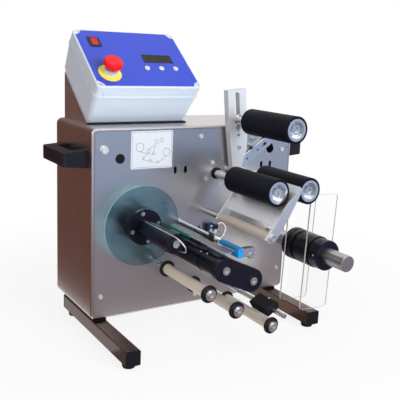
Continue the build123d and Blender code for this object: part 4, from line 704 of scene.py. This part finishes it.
# White studio floor: seen, mirrored or refracted it is mostly its own white, and wholly so far out.
# What is left of the lamps' light on it keeps the soft shadow. Distances from the middle in metres
WHITE_NEAR, WHITE_FAR, NEAR_SHARE = 0.3, 1.1, 0.84
white_floor, tree, shader = finish_of("white studio floor", "FFFFFF", Roughness=0.9)
place = add_node(tree, "ShaderNodeTexCoord")
distance = add_node(tree, "ShaderNodeVectorMath", {0: place.outputs["Object"]}, operation="LENGTH")
own_white = add_node(
    tree,
    "ShaderNodeMapRange",
    {
        "Value": distance.outputs["Value"],
        "From Min": WHITE_NEAR,
        "From Max": WHITE_FAR,
        "To Min": NEAR_SHARE,
        "To Max": 1.0,
    },
    interpolation_type="SMOOTHSTEP",
)
seen = light_seen(tree)
amount = add_node(tree, "ShaderNodeMath", {0: seen, 1: own_white.outputs["Result"]}, operation="MULTIPLY")
white = add_node(tree, "ShaderNodeEmission")
mixed = add_node(
    tree,
    "ShaderNodeMixShader",
    {0: amount.outputs["Value"], 1: shader.outputs["BSDF"], 2: white.outputs["Emission"]},
)
tree.links.new(mixed.outputs["Shader"], tree.nodes["Material Output"].inputs["Surface"])


UPWARDS = np.array([0.0, 0.0, 1.0])


def card(name, centre, size, way, material):
    """Flat card that faces one way: centre + u * side + v * up at its four corners."""
    side = np.array([1.0, 0, 0]) if way is UPWARDS else np.cross(way, UPWARDS)
    up = np.cross(side, way)
    centre = np.array(centre)
    wide, high = size[0] / 2 * side, size[1] / 2 * up
    left, right = centre - wide, centre + wide
    grid = np.array([[left - high, left + high], [right - high, right + high]])
    made = surface(name, grid, material)
    made.visible_camera = False
    made.visible_shadow = False
    made.visible_diffuse = False
    made.visible_transmission = False


FLOOR_HALF = 6.0
floor_ends = (-FLOOR_HALF, FLOOR_HALF)
floor_points = np.array([[(x, y, 0.0) for y in floor_ends] for x in floor_ends])
floor = surface("floor", floor_points, white_floor)

# White studio all round: as a light it is weaker than it is seen
AMBIENT = 0.36
world = bpy.data.worlds.new("white studio")
world.use_nodes = True
bpy.context.scene.world = world
sky = world.node_tree
sky.nodes["Background"].inputs["Color"].default_value = (1, 1, 1, 1)
seen = light_seen(sky)
strength = add_node(sky, "ShaderNodeMapRange", {"Value": seen, "To Min": AMBIENT, "To Max": 1.0})
sky.links.new(strength.outputs["Result"], sky.nodes["Background"].inputs["Strength"])


MIDDLE = Vector((0, 0, 0.3))


def lamp(name, place, size, power, colour=(1, 1, 1)):
    """Soft square lamp at a place, aimed at the machine's middle."""
    data = bpy.data.lights.new(name, "AREA")
    data.size = size
    data.energy = power
    data.color = colour
    made = bpy.data.objects.new(name, data)
    bpy.context.scene.collection.objects.link(made)
    made.location = place
    made.rotation_euler = (MIDDLE - Vector(place)).to_track_quat("-Z", "Y").to_euler()
    return made


key = lamp("key lamp", (0.6, -3.0, 1.3), 1.8, 100)
key.visible_glossy = False
glint = lamp("glint lamp", (0.6, -3.0, 1.9), 1.2, 16)
glint.visible_diffuse = False
lamp("fill lamp", (-2.4, -1.0, 1.2), 1.6, 15, (1.0, 0.68, 0.54))
lamp("top lamp", (0.2, 0.4, 2.6), 1.6, 5)


def glowing(name, colour):
    """A card's paint: it shows one even colour, whatever light falls on it."""
    material, tree, _ = finish_of(name, "000000")
    glow = add_node(tree, "ShaderNodeEmission", {"Color": linear(colour)})
    tree.links.new(glow.outputs["Emission"], tree.nodes["Material Output"].inputs["Surface"])
    return material


# Cards that only metal and gloss see: brown behind and on the left, warm grey on the floor near in front,
# blue-grey farther out in front
brown_paint = glowing("brown card paint", "6E463B")
warm_paint = glowing("warm grey card paint", "9A8C8E")
blue_paint = glowing("blue grey card paint", "A6B8DA")
CARD_LIFT = 0.002
card("left floor card", (-2.1, 1.6, CARD_LIFT), (3.6, 4.0), UPWARDS, brown_paint)
card("rear wall card", (-1.2, 3.6, 1.3), (5.6, 2.6), FORWARD, brown_paint)
card("near floor card", (0.8, -0.45, CARD_LIFT), (3.6, 0.8), UPWARDS, warm_paint)
card("far floor card", (1.4, -2.3, CARD_LIFT), (5.2, 2.9), UPWARDS, blue_paint)
card("front wall card", (1.0, -3.8, 0.7), (8.0, 1.4), -FORWARD, blue_paint)

# Camera solved from the cabinet's straight edges: focal length in pixels of the photo, which is 400 wide
FOCAL_PX, PHOTO_PX, SENSOR = 659.81, 400, 36.0
SHIFT = (0.0014, -0.0205)
CAMERA_PLACE = at(-496.89, 556.61, 1196.31)
camera_data = bpy.data.cameras.new("camera")
camera_data.sensor_width = SENSOR
camera_data.lens = FOCAL_PX / PHOTO_PX * SENSOR
camera_data.shift_x, camera_data.shift_y = SHIFT
camera = bpy.data.objects.new("camera", camera_data)
bpy.context.scene.collection.objects.link(camera)
right = Vector((0.8516, -0.5225, 0.0416)).normalized()
up = Vector((0.0747, 0.1997, 0.9770)).normalized()
back = right.cross(up).normalized()
up = back.cross(right)
turn = Matrix((right, up, back)).transposed().to_4x4()
turn.translation = Vector(CAMERA_PLACE)
camera.matrix_world = turn
bpy.context.scene.camera = camera
bpy.context.scene.view_settings.view_transform = "Standard"
